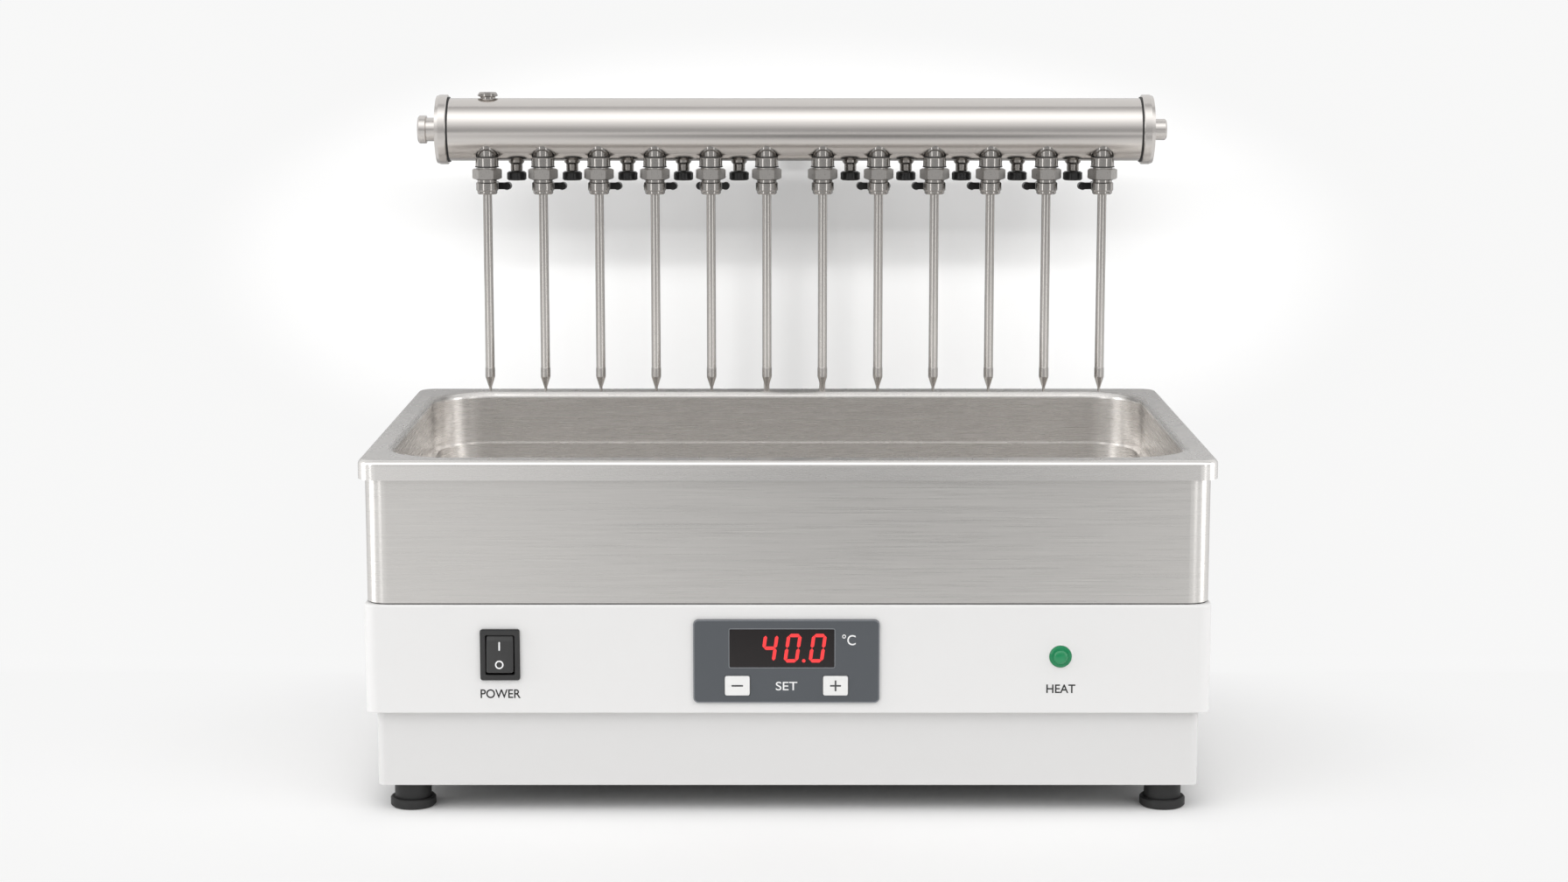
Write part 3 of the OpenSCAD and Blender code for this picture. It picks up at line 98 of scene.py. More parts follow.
camera_data = bpy.data.cameras.new("camera")
camera_data.sensor_width = SENSOR
camera_data.sensor_fit = "HORIZONTAL"
camera_data.lens = SENSOR * FOCAL_PIXELS / PICTURE_WIDTH
camera_data.clip_start = NEAREST
camera_data.clip_end = FURTHEST
camera = bpy.data.objects.new("camera", camera_data)
camera.location = place(*CAMERA_PLACE)
camera.rotation_euler = (math.radians(90 - CAMERA_PITCH), 0, 0)
bpy.context.scene.collection.objects.link(camera)
bpy.context.scene.camera = camera
print("lens", round(camera_data.lens, 2), "mm")

# %% [markdown]
# The studio is a pale floor and a pale wall close behind the machine, which catches a soft
# shadow of the manifold. The wall is one bent line that is extruded sideways, and its foot is
# rounded with a bevel, so no horizon shows. It casts no shadow and sends no light back, so
# the machine's back is lit as if the wall weren't there, and from behind it can be seen
# through. The floor does both, and it goes on behind the wall.

# %% Floor and wall
FLOOR_FRONT = -3.2
FLOOR_BACK = 2.5
WALL = 0.21
WALL_FOOT = 0.012
WALL_LIFT = 0.0004
WALL_TOP = 3.0
STUDIO_HALF = 3.2


def finish_mesh(bm, name):
    """Makes an object of a bmesh, with its normals pointing out."""
    bmesh.ops.recalc_face_normals(bm, faces=bm.faces)
    mesh = bpy.data.meshes.new(name)
    bm.to_mesh(mesh)
    bm.free()
    made = bpy.data.objects.new(name, mesh)
    bpy.context.scene.collection.objects.link(made)
    return made


def smooth(made, degrees=40):
    """Shades an object smoothly, but keeps edges sharper than an angle."""
    for face in made.data.polygons:
        face.use_smooth = True
    made.data.set_sharp_from_angle(angle=math.radians(degrees))
    return made


def bent_sheet(name, corners, round_by):
    """A sheet along a bent line of (y, z) corners, as wide as the studio."""
    bm = bmesh.new()
    line = [bm.verts.new((-STUDIO_HALF, y, z)) for y, z in corners]
    bends = [bm.edges.new(pair) for pair in zip(line, line[1:])]
    sheet = bmesh.ops.extrude_edge_only(bm, edges=bends)
    side = [v for v in sheet["geom"] if isinstance(v, bmesh.types.BMVert)]
    bmesh.ops.translate(bm, verts=side, vec=(2 * STUDIO_HALF, 0, 0))
    fold = [e for e in bm.edges if len(e.link_faces) == 2]
    if fold:
        bmesh.ops.bevel(bm, geom=fold, offset=round_by, segments=16, profile=0.5,
                        affect="EDGES", material=-1)
    made = smooth(finish_mesh(bm, name), 60)
    facing = sum(((f.normal.z - f.normal.y) * f.area for f in made.data.polygons), 0.0)
    if facing < 0:
        made.data.flip_normals()
    return made


floor = bent_sheet("studio_floor", [(FLOOR_FRONT, 0), (FLOOR_BACK, 0)], 0)
wall = bent_sheet(
    "studio_wall", [(WALL - WALL_FOOT, WALL_LIFT), (WALL, WALL_LIFT), (WALL, WALL_TOP)],
    WALL_FOOT * 0.96)
wall.visible_shadow = False
wall.visible_diffuse = False
print("floor and wall of", len(floor.data.polygons) + len(wall.data.polygons), "faces")

# %% [markdown]
# The paper is matt, so it keeps the machine's shadows. The camera, mirrors and glass see part
# of it as an even pale glow, little near the machine and much further away, so that it fades
# into a plain background. A mask on Object coordinates says how near is near.

# %% Paper
PALE = 0.925
FADE_FROM, FADE_TO = 0.6, 1.4


def paper(made, name, colour, near, far, centre, reach):
    """Matt paper that glows by the share near at the centre, and far outside its reach."""
    sheet = bpy.data.materials.new(name)
    sheet.use_nodes = True
    tree = sheet.node_tree
    tree.nodes.clear()
    add, link = tree.nodes.new, tree.links.new
    out = add("ShaderNodeOutputMaterial")
    matt = add("ShaderNodeBsdfDiffuse")
    matt.inputs["Color"].default_value = (*colour, 1)
    glow = add("ShaderNodeEmission")
    glow.inputs["Color"].default_value = (PALE, PALE, PALE * 0.998, 1)
    clear = add("ShaderNodeBsdfTransparent")
    coordinates = add("ShaderNodeTexCoord")
    mapping = add("ShaderNodeMapping")
    mapping.vector_type = "TEXTURE"
    mapping.inputs["Location"].default_value = centre
    mapping.inputs["Scale"].default_value = reach
    link(coordinates.outputs["Object"], mapping.inputs["Vector"])
    away = add("ShaderNodeVectorMath")
    away.operation = "LENGTH"
    link(mapping.outputs[0], away.inputs[0])
    share = add("ShaderNodeMapRange")
    share.interpolation_type = "SMOOTHSTEP"
    share.inputs["From Min"].default_value = FADE_FROM
    share.inputs["From Max"].default_value = FADE_TO
    share.inputs["To Min"].default_value = near
    share.inputs["To Max"].default_value = far
    link(away.outputs["Value"], share.inputs["Value"])
    path = add("ShaderNodeLightPath")
    seen = add("ShaderNodeMath")
    seen.operation = "MAXIMUM"
    link(path.outputs["Is Camera Ray"], seen.inputs[0])
    link(path.outputs["Is Glossy Ray"], seen.inputs[1])
    seen_or_through = add("ShaderNodeMath")
    seen_or_through.operation = "MAXIMUM"
    link(seen.outputs[0], seen_or_through.inputs[0])
    link(path.outputs["Is Transmission Ray"], seen_or_through.inputs[1])
    amount = add("ShaderNodeMath")
    amount.operation = "MULTIPLY"
    link(seen_or_through.outputs[0], amount.inputs[0])
    link(share.outputs[0], amount.inputs[1])
    mixed = add("ShaderNodeMixShader")
    link(amount.outputs[0], mixed.inputs[0])
    link(matt.outputs[0], mixed.inputs[1])
    link(glow.outputs[0], mixed.inputs[2])
    geometry = add("ShaderNodeNewGeometry")
    one_sided = add("ShaderNodeMixShader")
    link(geometry.outputs["Backfacing"], one_sided.inputs[0])
    link(mixed.outputs[0], one_sided.inputs[1])
    link(clear.outputs[0], one_sided.inputs[2])
    link(one_sided.outputs[0], out.inputs["Surface"])
    made.data.materials.append(sheet)


paper(floor, "floor_paper", (0.94, 0.938, 0.935), 0.0, 0.95, (0, -0.08, 0), (0.42, 0.27, 1))
paper(wall, "wall_paper", (0.73, 0.729, 0.727), 0.1, 0.97, (0, WALL, 0.31), (0.33, 1, 0.13))
print("paper on floor and wall")

# %% [markdown]
# Steel shows what stands round it, so the room is built like a photographer's. The world is
# a soft screen over the front that is brightest at half height, with a dim horizon and a
# darker ceiling behind: one ramp over the angle round the X axis, from the front horizon over
# the top to the back. It gives the long tube its white band with soft dark edges. It is a
# little stronger on the left. Two upright lamps at the sides light the jacket's corners.

# %% Room
ROOM_TOP = 3.0
ROOM_LEAN = 0.12
ROOM = [(-90, 0.45), (-30, 0.4), (-4, 0.5), (6, 0.6), (14, 0.95), (24, 1.25), (34, 1.6),
        (46, 2.35), (56, 2.3), (66, 1.75), (76, 1.15), (88, 0.72), (102, 0.36), (120, 0.5),
        (144, 0.68), (170, 0.65), (180, 0.6)]

world = bpy.data.worlds.new("studio_world")
bpy.context.scene.world = world
world.use_nodes = True
tree = world.node_tree
tree.nodes.clear()
add, link = tree.nodes.new, tree.links.new
world_out = add("ShaderNodeOutputWorld")
direction = add("ShaderNodeTexCoord")
split = add("ShaderNodeSeparateXYZ")
link(direction.outputs["Generated"], split.inputs[0])
forward = add("ShaderNodeMath")
forward.operation = "MULTIPLY"
forward.inputs[1].default_value = -1
link(split.outputs["Y"], forward.inputs[0])
angle = add("ShaderNodeMath")
angle.operation = "ARCTAN2"
link(split.outputs["Z"], angle.inputs[0])
link(forward.outputs[0], angle.inputs[1])
turn = add("ShaderNodeMapRange")
turn.inputs["From Min"].default_value = math.radians(ROOM[0][0])
turn.inputs["From Max"].default_value = math.radians(ROOM[-1][0])
link(angle.outputs[0], turn.inputs["Value"])
ramp = add("ShaderNodeValToRGB")
ramp.color_ramp.interpolation = "B_SPLINE"
span = ROOM[-1][0] - ROOM[0][0]
for index, (degrees, level) in enumerate(ROOM):
    where = (degrees - ROOM[0][0]) / span
    stops = ramp.color_ramp.elements
    stop = stops[0] if index == 0 else stops[-1] if index == len(ROOM) - 1 else stops.new(where)
    stop.position = where
    stop.color = (*[level / ROOM_TOP] * 3, 1)
link(turn.outputs[0], ramp.inputs[0])
sideways = add("ShaderNodeMapRange")
sideways.inputs["From Min"].default_value = -1
sideways.inputs["From Max"].default_value = 1
sideways.inputs["To Min"].default_value = ROOM_TOP * (1 + ROOM_LEAN)
sideways.inputs["To Max"].default_value = ROOM_TOP * (1 - ROOM_LEAN)
link(split.outputs["X"], sideways.inputs["Value"])
strength = add("ShaderNodeMath")
strength.operation = "MULTIPLY"
link(ramp.outputs["Color"], strength.inputs[0])
link(sideways.outputs[0], strength.inputs[1])
room = add("ShaderNodeBackground")
link(strength.outputs[0], room.inputs["Strength"])
seen = add("ShaderNodeBackground")
seen.inputs["Color"].default_value = (PALE, PALE, PALE, 1)
path = add("ShaderNodeLightPath")
choose = add("ShaderNodeMixShader")
link(path.outputs["Is Camera Ray"], choose.inputs[0])
link(room.outputs[0], choose.inputs[1])
link(seen.outputs[0], choose.inputs[2])
link(choose.outputs[0], world_out.inputs["Surface"])
bpy.context.scene.view_settings.view_transform = "Standard"
print("room of", len(ROOM), "levels")

# %% [markdown]
# A lamp is an area light that is given as a camera sees it: by its radiance, where 1 is white.
# The two lamps at the sides are linked to the lower body and the floor, because the small
# turned parts above have dark edges on the real machine, which such lamps would wash out.

# %% Side lamps
def lamp(name, centre, target, width, height, radiance):
    """A rectangular lamp at centre, facing target, that the camera doesn't see."""
    light = bpy.data.lights.new(name, "AREA")
    light.shape = "RECTANGLE"
    light.size = width
    light.size_y = height
    light.energy = radiance * width * height * math.pi
    made = bpy.data.objects.new(name, light)
    made.location = centre
    facing = Vector(target) - Vector(centre)
    made.rotation_euler = facing.to_track_quat("-Z", "Y").to_euler()
    made.visible_camera = False
    bpy.context.scene.collection.objects.link(made)
    return made


AIM_LOW = (0, -0.2, 0.25)
side_lamps = [lamp("lamp_left", (-0.95, -0.24, 0.33), AIM_LOW, 0.3, 0.64, 2.6),
              lamp("lamp_right", (0.95, -0.24, 0.33), AIM_LOW, 0.3, 0.64, 2.2)]
lower_body = bpy.data.collections.new("lower_body")
for name in ("outer_jacket", "bath_tank", "control_housing", "base_plinth"):
    lower_body.objects.link(nodes[name])
lower_body.objects.link(floor)
for side_lamp in side_lamps:
    side_lamp.light_linking.receiver_collection = lower_body

# %% [markdown]
# Two tall, narrow strips stand in front, left and right. On every round upright part, such as a
# needle, each draws one bright line, with a darker line between them.

# %% Upright strips
AIM_NEEDLES = (0, 0, 0.3)
for name, x, radiance in (("lamp_near_left", -1.05, 2.0), ("lamp_near_right", 1.05, 1.7)):
    lamp(name, (x, -1.25, 0.45), AIM_NEEDLES, 0.2, 0.9, radiance)
print("strips at both sides")

# %% [markdown]
# Dark cards give bright steel its darker edges. Only reflections see them: one lies on the
# floor where the jacket and the tube mirror it, and one stands before the wall. Each fades
# out from its middle, as a card does that is out of focus.

# %% Dark cards
CARD_BLACK = (0.05, 0.05, 0.05, 1)


def dark_card(name, corners, wide, centre, reach, depth):
    """A card along a line of (y, z) corners, which only reflections see."""
    card = bent_sheet(name, corners, 0)
    for corner in card.data.vertices:
        corner.co.x = centre[0] + math.copysign(wide / 2, corner.co.x)
    card.visible_camera = card.visible_diffuse = card.visible_shadow = False
    card.visible_transmission = False
    cloth = bpy.data.materials.new(name + "_cloth")
    cloth.use_nodes = True
    tree = cloth.node_tree
    tree.nodes.clear()
    add, link = tree.nodes.new, tree.links.new
    mapping = add("ShaderNodeMapping")
    mapping.vector_type = "TEXTURE"
    mapping.inputs["Location"].default_value = centre
    mapping.inputs["Scale"].default_value = reach
    link(add("ShaderNodeTexCoord").outputs["Object"], mapping.inputs["Vector"])
    away = add("ShaderNodeVectorMath")
    away.operation = "LENGTH"
    link(mapping.outputs[0], away.inputs[0])
    share = add("ShaderNodeMapRange")
    share.interpolation_type = "SMOOTHSTEP"
    share.inputs["To Min"].default_value = depth
    share.inputs["To Max"].default_value = 0
    link(away.outputs["Value"], share.inputs["Value"])
    mixed = add("ShaderNodeMixShader")
    black = add("ShaderNodeBsdfDiffuse")
    black.inputs["Color"].default_value = CARD_BLACK
    link(share.outputs[0], mixed.inputs[0])
    link(add("ShaderNodeBsdfTransparent").outputs[0], mixed.inputs[1])
    link(black.outputs[0], mixed.inputs[2])
    link(mixed.outputs[0], add("ShaderNodeOutputMaterial").inputs["Surface"])
    card.data.materials.append(cloth)


dark_card("card_front", [(-2.0, 0.003), (-0.45, 0.003)], 1.6, (0.1, -1.15, 0.003),
          (0.6, 0.75, 1), 1)
CARD_WALL = WALL - 0.01
dark_card("card_back", [(CARD_WALL, 0.0), (CARD_WALL, 0.6)], 1.8, (0, CARD_WALL, 0.22),
          (0.9, 1, 0.42), 0.72)
print("dark cards in place")

# %% [markdown]
# The manifold's soft shadow on the wall comes from a wide, low strip in front. It is linked to
# the paper alone, so it throws the machine's shadow and puts no more light on the machine.

# %% Strip for the wall's shadow
strip = lamp("lamp_strip", (0, -2.3, 1.12), (0, WALL, 0.35), 2.2, 0.16, 56)
paper_only = bpy.data.collections.new("paper_only")
paper_only.objects.link(wall)
strip.light_linking.receiver_collection = paper_only

# %% [markdown]
# Finishes share a few effects, so each is a node group that is built once: streaks that are
# long one way and fine the other, for brushed and turned metal, and grains, for moulded
# plastic and rubber, sprayed paint and the faint unevenness of any surface.

# %% Node group: streaks
def new_group(name, numbers, outputs):
    """A shader node group with a coordinate, the given numbers, and value outputs."""
    group = bpy.data.node_groups.new(name, "ShaderNodeTree")
    group.interface.new_socket("Coordinates", in_out="INPUT", socket_type="NodeSocketVector")
    for label, value in numbers:
        socket = group.interface.new_socket(label, in_out="INPUT", socket_type="NodeSocketFloat")
        socket.default_value = value
    for label in outputs:
        group.interface.new_socket(label, in_out="OUTPUT", socket_type="NodeSocketFloat")
    start = group.nodes.new("NodeGroupInput")
    end = group.nodes.new("NodeGroupOutput")
    return group, start, end


def noise_in(group, coordinates, scale, detail):
    """A noise texture in a group, of one scale and detail."""
    noise = group.nodes.new("ShaderNodeTexNoise")
    noise.inputs["Scale"].default_value = scale
    noise.inputs["Detail"].default_value = detail
    group.links.new(coordinates, noise.inputs["Vector"])
    return noise.outputs["Fac"]


NOISE_LOW, NOISE_HIGH = 0.3, 0.7


def ranged(group, value, low, high):
    """Maps a value from 0..1 to the range between two sockets."""
    span = group.nodes.new("ShaderNodeMapRange")
    span.inputs["From Min"].default_value = NOISE_LOW
    span.inputs["From Max"].default_value = NOISE_HIGH
    group.links.new(value, span.inputs["Value"])
    group.links.new(low, span.inputs["To Min"])
    group.links.new(high, span.inputs["To Max"])
    return span.outputs[0]


def averaged(group, first, second, share):
    """Mixes two values, with a share of the second."""
    mixer = group.nodes.new("ShaderNodeMix")
    mixer.inputs[0].default_value = share
    group.links.new(first, mixer.inputs[2])
    group.links.new(second, mixer.inputs[3])
    return mixer.outputs[0]


streaks, start, end = new_group("streaks", [("Low", 0.0), ("High", 1.0)], ["Streaks", "Fine"])
broad = noise_in(streaks, start.outputs["Coordinates"], 1.0, 2.0)
fine = noise_in(streaks, start.outputs["Coordinates"], 4.0, 3.0)
both = averaged(streaks, broad, fine, 0.5)
streaks.links.new(
    ranged(streaks, both, start.outputs["Low"], start.outputs["High"]), end.inputs["Streaks"])
streaks.links.new(fine, end.inputs["Fine"])
print("group", streaks.name)

# %% [markdown]
# Grains are a fine speckle for the surface's feel, and slow clouds for its shine.

# %% Node group: grains
grains, start, end = new_group(
    "grains", [("Low", 0.0), ("High", 1.0)], ["Grains", "Clouds"])
speckle = noise_in(grains, start.outputs["Coordinates"], 1.0, 3.0)
CLOUD_SIZE = 0.02
cloud = noise_in(grains, start.outputs["Coordinates"], CLOUD_SIZE, 2.0)
grains.links.new(speckle, end.inputs["Grains"])
grains.links.new(
    ranged(grains, cloud, start.outputs["Low"], start.outputs["High"]), end.inputs["Clouds"])
print("group", grains.name)

# %% [markdown]
# A finish is one Principled shader with one of those groups behind its roughness and bump.
# Numbers that are the same all over, such as metalness or the coat, sit on the shader itself.

# %% Finish builders
def stretched(tree, scale):
    """Object coordinates, scaled on each axis."""
    place_node = tree.nodes.new("ShaderNodeTexCoord")
    mapping = tree.nodes.new("ShaderNodeMapping")
    mapping.inputs["Scale"].default_value = scale
    tree.links.new(place_node.outputs["Object"], mapping.inputs["Vector"])
    return mapping.outputs[0]


def new_finish(name, colour, roughness, metallic=0.0, **constants):
    """A material with one Principled shader. Returns the material, its tree and the shader."""
    made = bpy.data.materials.new(name)
    made.use_nodes = True
    tree = made.node_tree
    shader = tree.nodes["Principled BSDF"]
    shader.inputs["Base Color"].default_value = (*colour, 1)
    shader.inputs["Roughness"].default_value = roughness
    shader.inputs["Metallic"].default_value = metallic
    for label, value in constants.items():
        shader.inputs[label.replace("_", " ")].default_value = value
    return made, tree, shader


def add_group(tree, group, coordinates, low, high):
    """Places a node group with its range."""
    node = tree.nodes.new("ShaderNodeGroup")
    node.node_tree = group
    node.inputs["Low"].default_value = low
    node.inputs["High"].default_value = high
    tree.links.new(coordinates, node.inputs["Coordinates"])
    return node


def add_bump(tree, shader, height, depth, strength):
    """A bump of a given depth, in metres, from a height value."""
    bump = tree.nodes.new("ShaderNodeBump")
    bump.inputs["Distance"].default_value = depth
    bump.inputs["Strength"].default_value = strength
    tree.links.new(height, bump.inputs["Height"])
    tree.links.new(bump.outputs[0], shader.inputs["Normal"])


def tint_between(tree, shader, value, dark, light):
    """Colours the surface between two colours by a value."""
    mixer = tree.nodes.new("ShaderNodeMix")
    mixer.data_type = "RGBA"
    mixer.inputs[6].default_value = (*dark, 1)
    mixer.inputs[7].default_value = (*light, 1)
    tree.links.new(value, mixer.inputs[0])
    tree.links.new(mixer.outputs[2], shader.inputs["Base Color"])


def steel(name, colour, rough, stretch, spread, depth=0.00002, lengthwise=0.5, contrast=0.06):
    """Stainless steel with streaks along one way. Stretch is the streaks' count per metre on
    each axis, spread the range of its roughness, and lengthwise its anisotropy."""
    made, tree, shader = new_finish(
        name, colour, rough, 1.0, Anisotropic=lengthwise, Anisotropic_Rotation=0.25)
    node = add_group(tree, streaks, stretched(tree, stretch), rough - spread, rough + spread)
    tree.links.new(node.outputs["Streaks"], shader.inputs["Roughness"])
    dark = tuple(c * (1 - contrast) for c in colour)
    light = tuple(min(1, c * (1 + contrast)) for c in colour)
    tint_between(tree, shader, node.outputs["Fine"], dark, light)
    add_bump(tree, shader, node.outputs["Fine"], depth, 0.5)
    return made


def moulded(name, colour, rough, grain, depth, metallic=0.0, spread=0.05, contrast=0.04,
            **constants):
    """Plastic, rubber or paint with a grain of so many per metre and a depth in metres."""
    made, tree, shader = new_finish(name, colour, rough, metallic, **constants)
    node = add_group(
        tree, grains, stretched(tree, (grain, grain, grain)), rough - spread, rough + spread)
    tree.links.new(node.outputs["Clouds"], shader.inputs["Roughness"])
    dark = tuple(c * (1 - contrast) for c in colour)
    light = tuple(min(1, c * (1 + contrast)) for c in colour)
    tint_between(tree, shader, node.outputs["Grains"], dark, light)
    add_bump(tree, shader, node.outputs["Grains"], depth, 0.6)
    return made


def dress(finish, *names):
    """Gives CAD nodes a finish."""
    for name in names:
        for slot in nodes[name].material_slots:
            slot.material = finish


print("finish builders ready")

# %% [markdown]
# The bath's steel is brushed along its walls, the tube is polished lengthwise, and the small
# turned parts carry fine rings from the lathe. Steel is slightly warm in tone.

# %% Steel finishes
STEEL = (0.64, 0.61, 0.585)
MICRON = 0.000001
ALONG = 6
ACROSS = 1500
RINGS = (200, 200, 6000)
ring_steel = steel("turned_steel", (0.46, 0.44, 0.42), 0.17, RINGS, 0.03, 3 * MICRON, 0.2, 0.1)
dress(ring_steel, "top_plug", "station_bosses", "stopcock_bodies", "nozzle_tips")

# Name, colour, roughness, streaks per metre, its spread, depth, lengthwise, contrast, and nodes
STEELS = [
    ("bath_steel", (0.79, 0.77, 0.75), 0.27, (ALONG * 2, ALONG * 2, 900), 0.04, 2, 0.3, 0.03,
     ["bath_tank"]),
    ("jacket_steel", (0.69, 0.672, 0.65), 0.32, (ALONG, ALONG, ACROSS), 0.08, 20, 0.6, 0.1,
     ["outer_jacket"]),
    ("tube_steel", STEEL, 0.2, (ALONG, ACROSS, ACROSS), 0.03, 3, 0.4, 0.06, ["manifold_tube"]),
    ("cap_steel", STEEL, 0.24, (ACROSS, 300, 300), 0.04, 3, 0.2, 0.06,
     ["end_caps", "gas_inlet_fitting", "end_stub"]),
    ("nut_steel", (0.48, 0.46, 0.44), 0.3, (ACROSS, ACROSS, 200), 0.05, 3, 0.2, 0.06,
     ["union_nuts"]),
    ("needle_steel", (0.56, 0.535, 0.51), 0.15, (2000, 2000, 40), 0.03, 2, 0.2, 0.06,
     ["needle_tubes"]),
    ("bonnet_steel", (0.34, 0.32, 0.3), 0.25, RINGS, 0.05, 20, 0.5, 0.06, ["knob_bonnets"]),
    ("mast_steel", STEEL, 0.32, (ACROSS, ACROSS, ALONG), 0.06, 20, 0.5, 0.06,
     ["mast_frame", "mast_bracket"]),
    ("screw_steel", STEEL, 0.28, (1000, 1000, 1000), 0.05, 20, 0.5, 0.06,
     ["fasteners", "temperature_probe"]),
]
for name, colour, rough, stretch, spread, depth, lengthwise, contrast, dressed in STEELS:
    dress(steel(name, colour, rough, stretch, spread, depth * MICRON, lengthwise, contrast),
          *dressed)
dress(moulded("carriage_aluminium", (0.62, 0.62, 0.62), 0.38, 4000, 10 * MICRON, 1.0),
      "lift_carriage", "manifold_arm")
print("steel finishes on")

# %% [markdown]
# Sprayed paint has a fine orange peel, moulded plastic a finer grain, and rubber a dull one. They
# differ in grain, depth and shine, so one builder makes them all.

# %% Paint, plastic and rubber finishes
rubber = moulded("black_rubber", (0.014, 0.014, 0.014), 0.55, 3000, 30 * MICRON)
dress(rubber, "rubber_feet", "jacket_seal", "end_gaskets")
# The plinth's paint is the housing's white made darker: painted shade, for its place under the
# housing's overhang.
for name, colour, rough, part in (
        ("housing_paint", (0.76, 0.755, 0.75), 0.42, "control_housing"),
        ("plinth_paint", (0.68, 0.675, 0.67), 0.45, "base_plinth")):
    dress(moulded(name, colour, rough, 1800, 12 * MICRON, spread=0.03, contrast=0.01), part)

# Name, colour, roughness, grains per metre, depth, and nodes
PLASTICS = [
    ("plate_paint", (0.18, 0.18, 0.18), 0.45, 1800, 20, ["bottom_plate"]),
    ("fascia_plastic", (0.080, 0.088, 0.098), 0.42, 5000, 8, ["control_fascia"]),
    ("window_plastic", (0.006, 0.003, 0.003), 0.12, 500, 1, ["display_window"]),
    ("key_plastic", (0.82, 0.82, 0.81), 0.4, 4000, 6, ["minus_button", "plus_button"]),
    ("switch_plastic", (0.026, 0.026, 0.026), 0.38, 4000, 10, ["switch_frame"]),
    ("rocker_plastic", (0.024, 0.024, 0.024), 0.35, 4000, 10, ["power_rocker"]),
    ("lamp_green", (0.0, 0.21, 0.075), 0.12, 500, 1, ["heat_lamp"]),
    ("inlet_plastic", (0.02, 0.02, 0.02), 0.45, 4000, 10, ["mains_inlet"]),
    ("knob_plastic", (0.012, 0.012, 0.012), 0.28, 4000, 8, ["lift_clamp_knob"]
     + [n for n in nodes if n.startswith(("tap_handle", "flow_knob"))]),
    ("heater_rubber", (0.35, 0.09, 0.03), 0.6, 3000, 30, ["heater_mat"]),
    ("insulation_foam", (0.6, 0.57, 0.48), 0.8, 1500, 200, ["insulation"]),
    ("board_laminate", (0.02, 0.12, 0.05), 0.35, 2000, 10, ["circuit_board"]),
]
for name, colour, rough, grain, depth, dressed in PLASTICS:
    dress(moulded(name, colour, rough, grain, depth * MICRON), *dressed)
print("other finishes on")

# %% [markdown]
# The front panel's lettering is printed, so each word is Blender's own font, made a mesh, laid
# flat on its surface and scaled to the size it has on the real panel. The words are plain
# ones: what a switch, a lamp and a display are for.

# %% Words
PRINT_DEEP = 0.08


def stand_up(front):
    """Turns a flat drawing of millimetres, x right and y up, to stand on the panel's front."""
    return (Matrix.Translation(place(0, front, 0)) @ Matrix.Rotation(math.radians(90), 4, "X")
            @ Matrix.Scale(MM, 4))


def word(name, text, x_low, x_high, z_low, z_high, front, bold=0.0):
    """A word that fills a box on the panel."""
    curve = bpy.data.curves.new(name, "FONT")
    curve.body = text
    curve.offset = bold
    curve.extrude = 0.5
    typed = bpy.data.objects.new(name + "_type", curve)
    bpy.context.scene.collection.objects.link(typed)
    bpy.context.view_layer.update()
    mesh = bpy.data.meshes.new_from_object(
        typed.evaluated_get(bpy.context.evaluated_depsgraph_get()))
    bpy.data.objects.remove(typed)
    bpy.data.curves.remove(curve)
    xs = [v.co.x for v in mesh.vertices]
    ys = [v.co.y for v in mesh.vertices]
    wide, tall = max(xs) - min(xs), max(ys) - min(ys)
    fit = (Matrix.Translation((x_low, z_low, 0))
           @ Matrix.Diagonal(((x_high - x_low) / wide, (z_high - z_low) / tall, PRINT_DEEP * 2, 1))
           @ Matrix.Translation((-min(xs), -min(ys), 0)))
    mesh.transform(stand_up(front) @ fit)
    made = bpy.data.objects.new(name, mesh)
    bpy.context.scene.collection.objects.link(made)
    return made


def add_piece(made, finish, body):
    """Dresses a new piece and lets it ride on a body."""
    made.data.materials.clear()
    made.data.materials.append(finish)
    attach(made, body)
    return made


FRONT = -160.2
FASCIA_FRONT = -161.8
WINDOW_FRONT = -161.5
INK_GRAIN, INK_DEEP = 5000, 3 * MICRON
black_ink = moulded("black_ink", (0.012, 0.012, 0.012), 0.5, INK_GRAIN, INK_DEEP)
white_ink = moulded("white_ink", (0.86, 0.86, 0.86), 0.5, INK_GRAIN, INK_DEEP)
grey_ink = moulded("grey_ink", (0.055, 0.057, 0.06), 0.5, INK_GRAIN, INK_DEEP)

# Name, text, its box (x from, to, z from, to), surface, boldness, ink and slot
WORDS = [
    ("word_power", "POWER", (-191.8, -166.8, 75.6, 81.3), FRONT, 0.012, black_ink,
     "housing_paint"),
    ("word_heat", "HEAT", (161.3, 179.4, 78.9, 84.4), FRONT, 0.012, black_ink, "housing_paint"),
    ("word_set", "SET", (-7.5, 5.9, 81.0, 86.5), FASCIA_FRONT, 0.004, white_ink,
     "fascia_plastic"),
    ("word_degrees", "°C", (33.8, 42.2, 109.8, 116.6), FASCIA_FRONT, 0.004, white_ink,
     "fascia_plastic"),
]
for name, text, box, front, bold, ink, slot in WORDS:
    add_piece(word(name, text, *box, front, bold), ink, "base")
print("words on")

# %% [markdown]
# The display shows red digits of seven bars each. One bar is a rectangle whose two ends are
# drawn out to points, and a digit is up to seven copies of it, leant over a little.

# %% Lit digits
BAR = 2.15
BAR_GAP = 0.35
DIGIT_TALL = 18.3
DIGIT_WIDE = 9.2
LEAN = math.tan(math.radians(8))
BARS = {"a": (0.5, 1, 0), "b": (1, 0.75, 90), "c": (1, 0.25, 90), "d": (0.5, 0, 0),
        "e": (0, 0.25, 90), "f": (0, 0.75, 90), "g": (0.5, 0.5, 0)}


